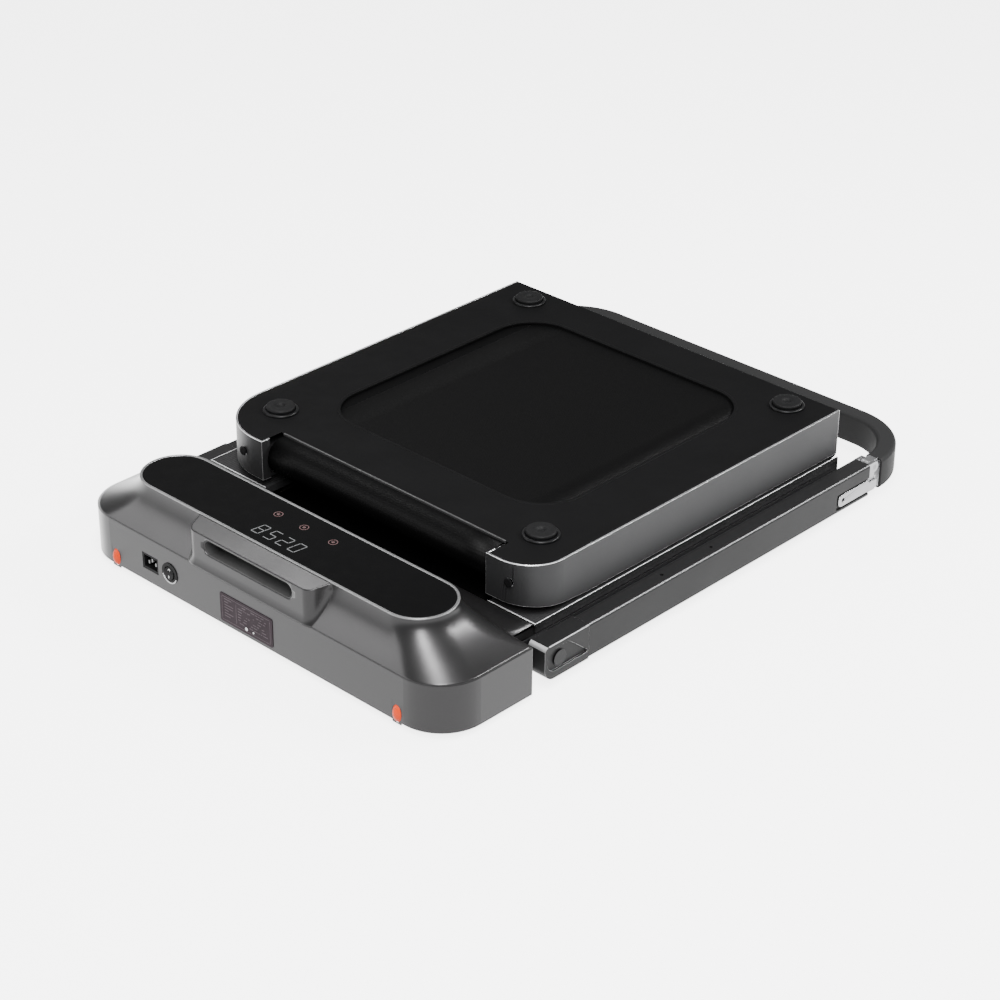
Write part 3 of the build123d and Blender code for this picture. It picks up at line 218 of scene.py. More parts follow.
def cut(obj, cutter):
    mod = obj.modifiers.new("cut", "BOOLEAN")
    mod.operation = "DIFFERENCE"
    mod.solver = "EXACT"
    mod.object = cutter
    bake(obj)
    bpy.data.objects.remove(cutter)


# ---------------------------------------------------------------- materials
class Mat:
    """A node material with short calls for the parts used again and again."""

    def __init__(self, name, colour, rough, metal=0.0, spec=0.5, coat=0.0, coat_rough=0.1):
        self.mat = bpy.data.materials.new(name)
        self.mat.use_nodes = True
        self.nt = self.mat.node_tree
        self.bsdf = self.nt.nodes["Principled BSDF"]
        self.bsdf.inputs["Base Color"].default_value = (*colour, 1)
        self.bsdf.inputs["Roughness"].default_value = rough
        self.bsdf.inputs["Metallic"].default_value = metal
        self.bsdf.inputs["Specular IOR Level"].default_value = spec
        self.bsdf.inputs["Coat Weight"].default_value = coat
        self.bsdf.inputs["Coat Roughness"].default_value = coat_rough
        self.colour = colour
        self.rough = rough
        self.co = self.nt.nodes.new("ShaderNodeTexCoord").outputs["Object"]
        self.height = None

    def node(self, kind, **values):
        n = self.nt.nodes.new(kind)
        for k, v in values.items():
            if k in n.inputs:
                n.inputs[k].default_value = v
            else:
                setattr(n, k, v)
        return n

    def link(self, a, b):
        self.nt.links.new(a, b)

    def scaled(self, scale):
        m = self.node("ShaderNodeMapping")
        m.inputs["Scale"].default_value = scale
        self.link(self.co, m.inputs["Vector"])
        return m.outputs["Vector"]

    def noise(self, scale, detail=3.0, rough=0.5, vector=None):
        n = self.node("ShaderNodeTexNoise", Scale=scale, Detail=detail, Roughness=rough)
        self.link(vector or self.co, n.inputs["Vector"])
        return n.outputs["Fac"]

    def wave(self, direction, pitch, distort=0.0):
        w = self.node("ShaderNodeTexWave", bands_direction=direction)
        w.inputs["Scale"].default_value = 0.314 / pitch
        w.inputs["Distortion"].default_value = distort
        self.link(self.co, w.inputs["Vector"])
        return w.outputs["Fac"]

    def ramp(self, fac, low, high, a=0.3, b=0.7):
        r = self.node("ShaderNodeMapRange")
        r.inputs["From Min"].default_value = a
        r.inputs["From Max"].default_value = b
        r.inputs["To Min"].default_value = low
        r.inputs["To Max"].default_value = high
        self.link(fac, r.inputs["Value"])
        return r.outputs["Result"]

    def vary(self, fac, amount, tint=None):
        """The base colour goes lighter and darker by amount with fac."""
        mix = self.node("ShaderNodeMix", data_type="RGBA")
        dark = [c * (1 - amount) for c in self.colour]
        light = tint or [min(1, c * (1 + amount)) for c in self.colour]
        mix.inputs["A"].default_value = (*dark, 1)
        mix.inputs["B"].default_value = (*light, 1)
        self.link(self.ramp(fac, 0, 1), mix.inputs["Factor"])
        self.link(mix.outputs["Result"], self.bsdf.inputs["Base Color"])

    def vary_rough(self, fac, amount):
        self.link(self.ramp(fac, self.rough - amount, self.rough + amount),
                  self.bsdf.inputs["Roughness"])

    def bump(self, fac, strength, distance=0.0005):
        b = self.node("ShaderNodeBump", Strength=strength, Distance=distance)
        self.link(fac, b.inputs["Height"])
        if self.height:
            self.link(self.height, b.inputs["Normal"])
        self.height = b.outputs["Normal"]
        self.link(self.height, self.bsdf.inputs["Normal"])


def lacquer(name, colour, rough=0.34, metal=0.8, coat=0.05, spec=0.25):
    m = Mat(name, colour, rough, metal=metal, coat=coat, coat_rough=0.2, spec=spec)
    flakes = m.noise(3800, 2, 0.6)
    m.vary(flakes, 0.16)
    m.vary_rough(m.noise(9, 3), 0.03)
    m.bump(flakes, 0.04, 0.0001)
    m.bump(m.noise(140, 2), 0.02, 0.0003)
    return m.mat


def grain(name, colour, rough=0.55, scale=2200, depth=0.25, spec=0.3):
    m = Mat(name, colour, rough, spec=spec)
    m.vary(m.noise(14, 4), 0.14)
    m.vary_rough(m.noise(35, 4), 0.06)
    m.bump(m.noise(scale, 4, 0.65), depth, 0.0003)
    return m.mat


def brushed(name, colour, rough=0.3, along="y", metal=1.0):
    m = Mat(name, colour, rough, metal=metal)
    scale = {"x": (4, 900, 900), "y": (900, 4, 900), "z": (900, 900, 4)}[along]
    lines = m.noise(1.0, 4, 0.6, m.scaled(scale))
    m.vary(lines, 0.12)
    m.vary_rough(lines, 0.07)
    m.bump(lines, 0.08, 0.0001)
    return m.mat


def woven(name, colour, pitch, rough=0.62, depth=0.7, spec=0.25):
    """Crossing threads in two directions, with fine fibre noise."""
    m = Mat(name, colour, rough, spec=spec)
    mul = m.node("ShaderNodeMath", operation="MULTIPLY")
    m.link(m.wave("X", pitch, 0.5), mul.inputs[0])
    m.link(m.wave("Y", pitch, 0.5), mul.inputs[1])
    m.vary(mul.outputs[0], 0.5)
    m.vary_rough(m.noise(900, 3), 0.08)
    m.bump(mul.outputs[0], depth, 0.0006)
    m.bump(m.noise(3000, 3), 0.2, 0.0002)
    return m.mat


def ribbed(name, colour, pitch, rough=0.6):
    """A grip surface: fine lengthwise ribs over a leather-like grain."""
    m = Mat(name, colour, rough, spec=0.12)
    ribs = m.wave("X", pitch)
    m.vary(m.noise(500, 4), 0.35)
    m.vary_rough(m.noise(200, 3), 0.08)
    m.bump(ribs, 0.5, 0.0005)
    m.bump(m.noise(900, 4, 0.7), 0.6, 0.0004)
    return m.mat


def gloss(name, colour, rough=0.16, spec=0.5, coat=0.0):
    m = Mat(name, colour, rough, spec=spec, coat=coat, coat_rough=0.08)
    m.vary(m.noise(5, 3), 0.1)
    m.vary_rough(m.noise(60, 4), 0.03)
    m.bump(m.noise(40, 2), 0.01, 0.0002)
    return m.mat


def rubber(name, colour, rough=0.7):
    m = Mat(name, colour, rough, spec=0.06)
    m.vary(m.noise(30, 4), 0.2)
    m.vary_rough(m.noise(120, 4), 0.08)
    m.bump(m.noise(1500, 4), 0.2, 0.0003)
    return m.mat


def glow(name, colour, strength):
    m = Mat(name, colour, 0.4)
    m.vary(m.noise(900, 2), 0.15)
    m.bsdf.inputs["Emission Color"].default_value = (*colour, 1)
    m.bsdf.inputs["Emission Strength"].default_value = strength
    return m.mat


M = {
    "housing": lacquer("housing_lacquer", (0.0165, 0.0162, 0.0165), 0.31, 0.85, 0.0, 0.2),
    "band": lacquer("band_lacquer", (0.0165, 0.0165, 0.017), 0.48, 0.8, 0.0, 0.2),
    # a light lacquer laid on bevels and thin strips as a painted highlight along edges
    "painted_highlight_edge": lacquer("painted_highlight_edge", (0.30, 0.30, 0.305), 0.42, 0.9),
    "pan": grain("pan_grain", (0.0009, 0.0009, 0.00096), 0.6, 1600, 0.3, 0.028),
    # a lighter, glossier grain used on the near edge strip of the pan as a painted highlight
    "pan_strip_painted_highlight": grain("pan_strip_painted_highlight", (0.006, 0.006, 0.0062), 0.4, 1600, 0.2, 0.3),
    "black": grain("black_plastic", (0.0016, 0.0016, 0.0017), 0.5, 2200, 0.2, 0.04),
    "slot": grain("slot_plastic", (0.016, 0.016, 0.016), 0.55, 2200, 0.2, 0.1),
    "step": ribbed("step_grain", (0.0042, 0.0042, 0.0044), 0.0042),
    "frame": grain("powder_coat", (0.003, 0.003, 0.0032), 0.5, 900, 0.3, 0.08),
    "belt_side": grain("guard_plastic", (0.00028, 0.00028, 0.0003), 0.6, 1200, 0.3, 0.02),
    "belt": woven("belt_weave", (0.0003, 0.0003, 0.00033), 0.0026, 0.5, 0.25, 0.03),
    "panel": gloss("panel_gloss", (0.0004, 0.0004, 0.00044), 0.22, 0.03),
    "rim": brushed("rim_alloy", (0.085, 0.085, 0.086), 0.4, "x", 0.85),
    # a light brushed alloy used only on the top faces of the deck trim as a painted highlight; the
    # other trim faces stay dark lacquer
    "trim": brushed("trim_top_painted_highlight", (0.30, 0.30, 0.305), 0.5, "y", 0.7),
    "trim_side": lacquer("trim_side", (0.006, 0.006, 0.0062), 0.5, 0.5, 0.0, 0.1),
    "rail": lacquer("rail_lacquer", (0.0036, 0.0036, 0.0037), 0.45, 0.15, 0.0, 0.07),
    # a lighter, more metallic lacquer laid on the shoulder facets of the handrail tubes as a
    # painted highlight
    "rail_shoulder_painted_highlight": lacquer("rail_shoulder_painted_highlight", (0.045, 0.045, 0.046), 0.45, 0.9),
    "handle": lacquer("handle_lacquer", (0.0064, 0.0064, 0.0065), 0.55, 0.0, 0.0, 0.03),
    "steel": brushed("steel", (0.12, 0.12, 0.123), 0.3, "x"),
    "dark_steel": brushed("dark_steel", (0.006, 0.006, 0.0062), 0.45, "x"),
    "latch": brushed("latch_alloy", (0.18, 0.18, 0.184), 0.36, "y"),
    "alloy": brushed("milled_alloy", (0.12, 0.12, 0.123), 0.4, "x"),
    "board": grain("board_coat", (0.008, 0.0068, 0.0056), 0.5, 400, 0.3, 0.1),
    "foot": rubber("foot_rubber", (0.0012, 0.0012, 0.0013), 0.6),
    "flange": gloss("flange_gloss", (0.0010, 0.0010, 0.0011), 0.42, 0.07),
    "motor": grain("motor_coat", (0.006, 0.006, 0.006), 0.4, 900, 0.2),
    "circuit": grain("solder_mask", (0.004, 0.025, 0.011), 0.4, 900, 0.2),
    "orange": gloss("wheel_orange", (0.19, 0.013, 0.0004), 0.4, 0.08),
    "plate": grain("plate_print", (0.0062, 0.0034, 0.0049), 0.55, 900, 0.1, 0.05),
    "print": grain("print_ink", (0.024, 0.018, 0.021), 0.5, 900, 0.1, 0.06),
    "white": grain("white_ink", (0.2, 0.2, 0.2), 0.5, 900, 0.1, 0.1),
    "led": glow("led_white", (0.02, 0.0207, 0.0213), 5.0),
    "icon": glow("icon_red", (0.0075, 0.0009, 0.001), 7.0),
}

CAD_LOOK = {
    "side_rails_front": "frame", "cross_tubes_front": "frame", "foot_rails_front": "step",
    "deck_trim_front": "trim_side", "running_board_front": "board", "bottom_pan": "frame",
    "feet_front": "foot", "bridge_cover": "housing", "walking_belt_front": "belt",
    "belt_fold": "belt", "front_axle": "steel", "motor_can": "motor", "drive_belt": "foot",
    "motor_bracket": "alloy", "housing_base": "housing", "housing_cover": "housing",
    "display_rim": "rim", "display_panel": "panel", "display_board": "circuit",
    "grip_liner": "slot", "controller_board": "circuit", "heat_sink": "alloy",
    "power_inlet": "black", "switch_bezel": "black", "data_plate": "plate",
    "wheel_axles": "steel", "hinge_bases": "dark_steel", "hinge_pins": "dark_steel",
    "pivot_brackets": "frame", "pivot_pins": "dark_steel", "front_roller": "steel",
    "front_bearings": "steel", "roller_pulley": "alloy", "motor_rotor": "steel",
    "switch_rocker": "black", "wheel_left": "orange", "wheel_right": "orange",
    "rear_side_left": "band", "rear_side_right": "band", "rear_pan": "pan",
    "side_rails_rear": "frame", "cross_tubes_rear": "frame", "foot_rails_rear": "step",
    "running_board_rear": "board", "walking_belt_rear": "belt", "rear_axle": "steel",
    "axle_blocks": "frame", "tension_bolts": "dark_steel", "feet_rear": "foot",
    "hinge_leaves": "dark_steel", "rear_roller": "steel", "rear_bearings": "steel",
    "rail_tubes": "rail", "rail_ends": "rail", "fold_brackets": "latch",
    "fold_pins": "steel", "latch_left": "latch", "latch_right": "latch",
    "handle_bar": "handle", "handle_lugs": "latch",
}
EDGE = {
    "rear_side_left": 1.0, "rear_side_right": 1.0, "rear_pan": 0.6, "rail_tubes": 0.0,
    "rail_ends": 1.1, "housing_base": 0.0, "deck_trim_front": 0.5, "foot_rails_front": 0.6,
    "latch_left": 0.4, "latch_right": 0.4, "fold_brackets": 0.6, "handle_lugs": 0.6,
    "data_plate": 0.25, "power_inlet": 0.4, "switch_bezel": 0.6, "switch_rocker": 0.5,
    "hinge_bases": 0.5, "hinge_leaves": 0.5, "axle_blocks": 0.5, "tension_bolts": 0.4,
    "pivot_brackets": 0.6, "pivot_pins": 0.5, "motor_bracket": 0.4, "grip_liner": 0.5,
    "roller_pulley": 0.8,
}
# the rounded edges of these parts carry the light lacquer, a painted highlight
PAINTED_HIGHLIGHT_BEVELS = {"rear_side_left", "rear_side_right", "rail_ends"}


def second_look(name, material, test):
    """Give the faces of a CAD piece that pass the test a second material."""
    obj = NODES[name]
    obj.data.materials.append(M[material])
    index = len(obj.data.materials) - 1
    turn = obj.matrix_world.to_3x3()
    for face in obj.data.polygons:
        n = (turn @ face.normal).normalized()
        at = obj.matrix_world @ face.center
        if test(n, at):
            face.material_index = index


def dress_cad():
    for name, obj in NODES.items():
        obj.data.materials.clear()
        obj.data.materials.append(M[CAD_LOOK[name]])
        width = EDGE.get(name, 0.3)
        if width > 0:
            # parts in the set get their bevels in the light lacquer, a painted highlight
            soften(obj, width * MM,
                   painted_highlight_material="painted_highlight_edge" if name in PAINTED_HIGHLIGHT_BEVELS else None)


def paint_highlight_lines():
    """Painted highlights: a light top on the deck trim, a light shoulder on each handrail tube and
    a light near top edge on each tube end.
    """
    # the flat top of the deck trim gets the light alloy, a painted highlight
    second_look("deck_trim_front", "trim", lambda n, at: n.z > 0.9)
    # the upper outer shoulder facets of the handrail tubes get the lighter lacquer, a painted
    # highlight
    second_look("rail_tubes", "rail_shoulder_painted_highlight",
                lambda n, at: 0.5 < n.z < 0.9 and n.x * at.x > 0)
    # the near upper faces of the tube ends get the light lacquer, a painted highlight
    second_look("rail_ends", "painted_highlight_edge", lambda n, at: n.z > 0.3 and n.y < -0.3)


# ---------------------------------------------------------------- motor housing cover
Z_RIM, Z_PART = 0.137, 0.0798
RIM_HALF, RIM_FRONT, RIM_BACK, RIM_CORNER = 0.288, 0.030, 0.136, 0.0529
BASE_HALF, BASE_BACK, BASE_CORNER, BASE_BACK_CORNER = 0.359, 0.165, 0.069, 0.003
GRIP_HALF, GRIP_CORNER, GRIP_TOP = 0.122, 0.016, 0.1322


def smin(a, b, k):
    h = min(1.0, max(0.0, 0.5 + 0.5 * (b - a) / k))
    return b * (1 - h) + a * h - k * h * (1 - h)


def front_face(x, z):
    """How far back the front of the cover lies at x and level z: flare plus grip block."""
    h = (Z_RIM - z) / (Z_RIM - Z_PART)
    flare = RIM_FRONT * (1 - h ** 1.8)
    ax = abs(x)
    side = 0.0
    if ax > GRIP_HALF - GRIP_CORNER:
        over = ax - (GRIP_HALF - GRIP_CORNER)
        if over < GRIP_CORNER * 0.96:
            side = GRIP_CORNER - math.sqrt(GRIP_CORNER ** 2 - over ** 2)
        else:
            side = GRIP_CORNER * 0.72 + (over - GRIP_CORNER * 0.96) * 2.4
    top = RIM_FRONT * (1 - (Z_RIM - z) / (Z_RIM - GRIP_TOP))
    block = -smin(-side, -top, 0.005)
    return smin(flare, block, 0.012 * min(1.0, 0.02 + (Z_RIM - z) / 0.009))


def front_xs(limit):
    side = list(np.linspace(0.094, 0.160, 45)) + list(np.linspace(0.168, limit, 9))
    half = [0.0, 0.02, 0.04, 0.06, 0.078, 0.086] + side
    return [-x for x in reversed(half)] + half[1:]


def cover_ring(z, inset=0.0):
    """The outline of the cover at one level, front first."""
    h = (Z_RIM - z) / (Z_RIM - Z_PART)
    s = h ** 1.8
    half = RIM_HALF + s * (BASE_HALF - RIM_HALF) - inset
    ya = RIM_FRONT * (1 - s) + inset
    yb = RIM_BACK + s * (BASE_BACK - RIM_BACK) - inset
    ra = RIM_CORNER + s * (BASE_CORNER - RIM_CORNER) - inset
    rb = RIM_CORNER + s * (BASE_BACK_CORNER - RIM_CORNER) - inset * (1 - 0.9 * s)
    front = []
    for x in front_xs(0.29):
        reach = x * (half - ra) / 0.29 if abs(x) > 0.16 else x
        if abs(x) > 0.16:
            t = (abs(x) - 0.16) / 0.13
            reach = math.copysign(0.16 + t * (half - ra - 0.16), x)
        front.append((reach, front_face(reach, z) + inset, z))
    side = [(x, y, z) for x, y in arc(half - ra, ya + ra, ra, -math.pi / 2, 0, 18)[1:]]
    side += [(half, ya + ra + (yb - rb - ya - ra) * i / 4, z) for i in range(1, 4)]
    side += [(x, y, z) for x, y in arc(half - rb, yb - rb, rb, 0, math.pi / 2, 14)]
    back = [(half - rb - 2 * (half - rb) * i / 20, yb, z) for i in range(1, 20)]
    left = [(-x, y, z) for x, y, z in reversed(side)]
    return [(x, y + Y0, z) for x, y, z in front + side + back + left]


def make_housing():
    levels = list(np.linspace(Z_RIM, 0.1315, 24)) + list(np.linspace(0.131, 0.124, 8))
    levels += list(np.linspace(0.121, Z_PART, 20))
    rings = [cover_ring(z) for z in levels]
    inner = [cover_ring(z, 0.0028) for z in reversed(levels[::3] + [levels[-1]])]
    shell = ring_sweep("housing_shell", rings + inner)
    z_mid, r = (0.1045 + 0.1295) / 2, 0.0125
    prof = (arc(0.0875 - r, z_mid, r, -math.pi / 2, math.pi / 2, 16)
            + arc(-0.0875 + r, z_mid, r, math.pi / 2, 1.5 * math.pi, 16))
    cutter = ring_sweep("slot_cutter", [[(x, y + Y0, z) for x, z in prof]
                                        for y in (-0.01, 0.027)], closed=False)
    cut(shell, cutter)
    piece(shell, "housing", "front_unit")
    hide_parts("housing_cover")
    # the cover runs on as a low ledge between the flare and the deck
    verts, faces = [], []
    xs = list(np.linspace(-0.317, 0.317, 41))
    ys = [0.150, 0.153, 0.156, 0.159, 0.162, 0.165, 0.169, 0.174, 0.180, 0.188, 0.197,
          0.2075, 0.2094]
    for y in ys:
        z = 0.0770 + 0.0146 * math.exp(-(y - 0.1545) / 0.0117)
        z = min(z, 0.0925) - (0.0008 if y > 0.209 else 0.0)
        for x in xs:
            verts.append((x, y + Y0, z))
    n = len(xs)
    for y in (0.2094, 0.150):
        for x in xs:
            verts.append((x, y + Y0, 0.0735))
    rows = len(ys) + 2
    for k in range(rows):
        for i in range(n - 1):
            a, b = k * n, ((k + 1) % rows) * n
            faces.append((a + i, a + i + 1, b + i + 1, b + i))
    for i in (0, n - 1):
        faces.append(tuple(k * n + i for k in range(rows)))
    ledge = mesh_object("housing_ledge", verts, faces)
    piece(ledge, "housing", "front_unit")
    skirts = ([], [])
    for side in (-1, 1):
        x_a, x_b = sorted((side * 0.317, side * 0.314))
        box(skirts, x_a, x_b, Y0 + 0.1653, Y0 + 0.2094, 0.062, 0.0765)
    skirt = mesh_object("ledge_skirts", *skirts, smooth=False)
    piece(skirt, "housing", "front_unit")
    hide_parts("bridge_cover")


SEGMENTS = {"2": "abged", "5": "afgcd", "8": "abcdefg", "0": "abcdef"}


def make_display():
    """Four lit digits and three touch keys, upright for the person on the belt."""
    parts = ([], [])
    z_a, z_b = 0.1381, 0.13835
    w, h, t = 0.0064, 0.0112, 0.0013
    bars = {"a": (-w, w, -h, -h), "g": (-w, w, 0, 0), "d": (-w, w, h, h),
            "f": (w, w, -h, 0), "b": (-w, -w, -h, 0), "e": (w, w, 0, h), "c": (-w, -w, 0, h)}
    for k, digit in enumerate("0258"):
        cx, cy = 0.0330 - 0.0235 * k, Y0 + 0.059
        for seg in SEGMENTS[digit]:
            x_a, x_b, y_a, y_b = bars[seg]
            e = 0.0006
            flat = y_a == y_b
            start = len(parts[0])
            box(parts, x_a + (e if flat else -t / 2), x_b - (e if flat else -t / 2),
                y_a - (t / 2 if flat else -e), y_b + (t / 2 if flat else -e), z_a, z_b)
            for i in range(start, len(parts[0])):
                x, y, z = parts[0][i]
                parts[0][i] = (cx + x + y * 0.14, cy + y, z)
    digits = mesh_object("display_digits", *parts, smooth=False)
    piece(digits, "led", "front_unit")
    parts = ([], [])
    for x in (-0.051, 0.0, 0.056):
        lathe(parts, "z", (x, Y0 + 0.102, z_a), [(0.0068, 0), (0.0068, 0.00025),
                                                   (0.0054, 0.00025), (0.0054, 0)], 32)
        lathe(parts, "z", (x, Y0 + 0.102, z_a), [(0.0024, 0), (0.0024, 0.00025)], 20)
    keys = mesh_object("touch_keys", *parts, smooth=False)
    piece(keys, "icon", "front_unit")


def make_front_details():
    """Pins in the inlet, marks on the switch and the printed data plate."""
    ix, iz = -0.2035, 0.042
    parts = ([], [])
    for x, z in ((-0.007, -0.002), (0.0, 0.0025), (0.007, -0.002)):
        box(parts, ix + x - 0.0013, ix + x + 0.0013, Y0 + 0.0037, Y0 + 0.019,
            iz + z - 0.0025, iz + z + 0.0025)
    pins = mesh_object("inlet_pins", *parts, smooth=False)
    piece(pins, "rim", "front_unit")
    sx, sz = -0.162, 0.0435
    rings = []
    for a in np.linspace(math.radians(200), math.radians(340), 25):
        c, k = math.cos(a), math.sin(a)
        rings.append([(sx + r * c, Y0 - y, sz + r * k)
                      for r, y in ((0.0155, 0.0), (0.0155, 0.0014), (0.0149, 0.0019),
                                   (0.0140, 0.0016), (0.0134, 0.0012), (0.0134, 0.0))])
    lower = ring_sweep("switch_lower_rim", rings, closed=False)
    piece(lower, "latch", "front_unit")
    marks = ([], [])
    box(marks, sx - 0.0009, sx + 0.0009, Y0 - 0.0026, Y0 - 0.0023, sz - 0.0070, sz - 0.0030)
    lathe(marks, "y", (sx, Y0 - 0.0007, sz + 0.0048), [(0.0022, 0), (0.0022, -0.0010),
                                                         (0.0015, -0.0010), (0.0015, 0)], 20)
    marks = mesh_object("switch_marks", *marks, smooth=False)
    piece(marks, "white", "rocker")
    px, pz, yp = -0.006, 0.0375, Y0 - 0.0008
    rng = np.random.default_rng(7)
    lines = ([], [])
    t, ink = 0.0008, 0.00015
    half_w, half_h = 0.048, 0.0186
    for x_a, x_b, z_a, z_b in ((-half_w, half_w, 0.0178, 0.0178 + t),
                               (-half_w, half_w, -half_h, -0.0178),
                               (-half_w, -half_w + t, -half_h, half_h),
                               (half_w - t, half_w, -half_h, half_h),
                               (-0.020, -0.020 + t, -0.015, 0.015)):
        box(lines, px + x_a, px + x_b, yp - ink, yp, pz + z_a, pz + z_b)
    for row in range(7):
        z = 0.0140 - row * 0.0043
        x = -0.016
        while x < 0.040:
            step = float(rng.uniform(0.003, 0.011))
            if rng.uniform() < 0.62 and x + step < 0.044:
                box(lines, px + x, px + x + step - 0.0015, yp - ink, yp,
                    pz + z, pz + z + 0.0013)
            x += step
        box(lines, px - 0.043, px - 0.043 + float(rng.uniform(0.008, 0.018)),
            yp - ink, yp, pz + z, pz + z + 0.0013)
    lines = mesh_object("plate_lines", *lines, smooth=False)
    piece(lines, "print", "front_unit")
    dot = ([], [])
    lathe(dot, "y", (px, yp, 0.0225), [(0.0026, 0), (0.0026, -0.0002)], 24)
    lathe(dot, "y", (px + 0.014, yp, 0.0225), [(0.0016, 0), (0.0016, -0.0002)], 20)
    dot = mesh_object("plate_dots", *dot, smooth=False)
    piece(dot, "white", "front_unit")


def make_wheels():
    """Crowned tyres on hubs, in place of the plain CAD wheels."""
    half, r = 0.0075, 0.0170
    wheel_x, wheel_y, wheel_z = 0.278, Y0 + 0.012, 0.0215
    n = 56
    crown = [(r - 0.0049 * (abs(t) ** 2.2), t * half) for t in np.linspace(-1, 1, 15)]
    profile = ([(0.0032, -half + 0.001), (0.0062, -half + 0.001), (0.0068, -half), (0.0098, -half)]
               + crown + [(0.0098, half), (0.0068, half), (0.0062, half - 0.001),
                          (0.0032, half - 0.001), (0.0032, -half + 0.001)])
    for name, side in (("left", -1), ("right", 1)):
        parts = ([], [])
        lathe(parts, "x", (side * wheel_x, wheel_y, wheel_z), profile[:-1], n)
        parts[1][-2:] = []
        last = (len(profile) - 2) * n
        parts[1].extend((last + i, i, (i + 1) % n, last + (i + 1) % n) for i in range(n))
        wheel = mesh_object("tyre_" + name, *parts)
        piece(wheel, "orange", name + "_wheel")
        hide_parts("wheel_" + name)


def make_arches():
    """Lacquered plates in the wheel openings, cut close round the barrel of each wheel."""
    t = 0.0006
    for name, side in (("left", -1), ("right", 1)):
        xc, zc = side * 0.278, 0.0215
        inner = []
        for a in np.linspace(0, 2 * math.pi, 48, endpoint=False):
            inner.append((xc + 0.0080 * math.cos(a), zc + 0.0131 * math.sin(a)))
        outer = []
        half_x, z_a, z_b = 0.00848, 0.0066, 0.0396
        for x, z in inner:
            dx, dz = x - xc, z - zc
            scale = min(half_x / max(abs(dx), 1e-6),
                        (z_b - zc if dz > 0 else zc - z_a) / max(abs(dz), 1e-6))
            outer.append((xc + dx * scale, zc + dz * scale))
        loops = [[(x, Y0 + y, z) for x, z in loop]
                 for loop, y in ((outer, 0.0001), (inner, 0.0001), (inner, t), (outer, t))]
        arch = ring_sweep("wheel_arch_" + name, loops, smooth=False)
        piece(arch, "housing", "front_unit")


def make_feet():
    """Stepped feet with a dished rubber pad and a round recess in the middle."""
    flange = [(0.0259, -0.0004), (0.0259, 0.0009), (0.0255, 0.0018), (0.0246, 0.0026),
              (0.0234, 0.0030), (0.0212, 0.0030), (0.0212, -0.0004)]
    pad = [(0.0206, 0.0026), (0.0209, 0.0034), (0.0210, 0.0058), (0.0207, 0.0069),
           (0.0199, 0.0077), (0.0188, 0.0080), (0.0120, 0.0079), (0.0062, 0.0077),
           (0.0056, 0.0060), (0.0006, 0.0060)]
    foot_x, foot_ys = 0.2538, (0.290, 0.808)
    for name, z, sign, body in (("rear", 0.1524, 1, "rear_deck"),
                                ("front", 0.008, -1, "front_unit")):
        for kind, profile in (("flanges", flange), ("pads", pad)):
            parts = ([], [])
            for x in (-foot_x, foot_x):
                for y in foot_ys:
                    lathe(parts, "z", (x, Y0 + y, z), [(r, sign * h) for r, h in profile], 48)
            obj = mesh_object(kind + "_" + name, *parts)
            piece(obj, "flange" if kind == "flanges" else "foot", body)
        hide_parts("feet_" + name)


def make_belt():
    """One closed belt round both rollers, through the fold."""
    r_in, thick = 0.024, 0.0016
    r_mid = r_in + thick / 2
    y_fr, z_fr, y_rr, z_rr = Y0 + 0.195, 0.0374, Y0 + 0.238, 2 * Z_FOLD - 0.0374
    y_bend, y_ret, bulge = Y0 + 0.820, Y0 + 0.844, 0.036
    r_loop = Z_FOLD - z_fr - r_mid
    tall = Z_FOLD - z_fr + r_mid
    path = [(y, z_fr + r_mid) for y in np.linspace(y_fr, y_bend, 40)[:-1]]
    path += arc(y_bend, Z_FOLD, r_loop, -math.pi / 2, math.pi / 2, 24)
    path += [(y, z_rr - r_mid) for y in np.linspace(y_bend, y_rr, 40)[1:-1]]
    path += arc(y_rr, z_rr, r_mid, -math.pi / 2, -1.5 * math.pi, 28)
    path += [(y, z_rr + r_mid) for y in np.linspace(y_rr, y_ret, 40)[1:-1]]
    path += [(y_ret + (bulge - thick / 2) * math.cos(a), Z_FOLD + tall * math.sin(a))
             for a in np.linspace(math.pi / 2, -math.pi / 2, 41)]
    path += [(y, z_fr - r_mid) for y in np.linspace(y_ret, y_fr, 40)[1:-1]]
    path += arc(y_fr, z_fr, r_mid, -math.pi / 2, -1.5 * math.pi, 28)[:-1]
    n = len(path)
    rows = []
    for i in range(n):
        (ya, za), (yb, zb) = path[i - 1], path[(i + 1) % n]
        ty, tz = yb - ya, zb - za
        length = math.hypot(ty, tz)
        ny, nz = -tz / length, ty / length
        y, z = path[i]
        rows.append((y, z, ny * thick / 2, nz * thick / 2))
    xs = np.linspace(BELT_X - BELT_HALF, BELT_X + BELT_HALF, 9)
    verts = []
    for y, z, oy, oz in rows:
        verts += [(x, y + oy, z + oz) for x in xs]
        verts += [(x, y - oy, z - oz) for x in reversed(xs)]
    w = 2 * len(xs)
    faces = []
    for i in range(n):
        a, b = i * w, ((i + 1) % n) * w
        faces += [(a + j, a + (j + 1) % w, b + (j + 1) % w, b + j) for j in range(w)]
    belt = mesh_object("walking_belt", verts, faces)
    belt.data.materials.append(M["belt"])
    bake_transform(belt)
    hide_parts("walking_belt_front", "walking_belt_rear", "belt_fold")


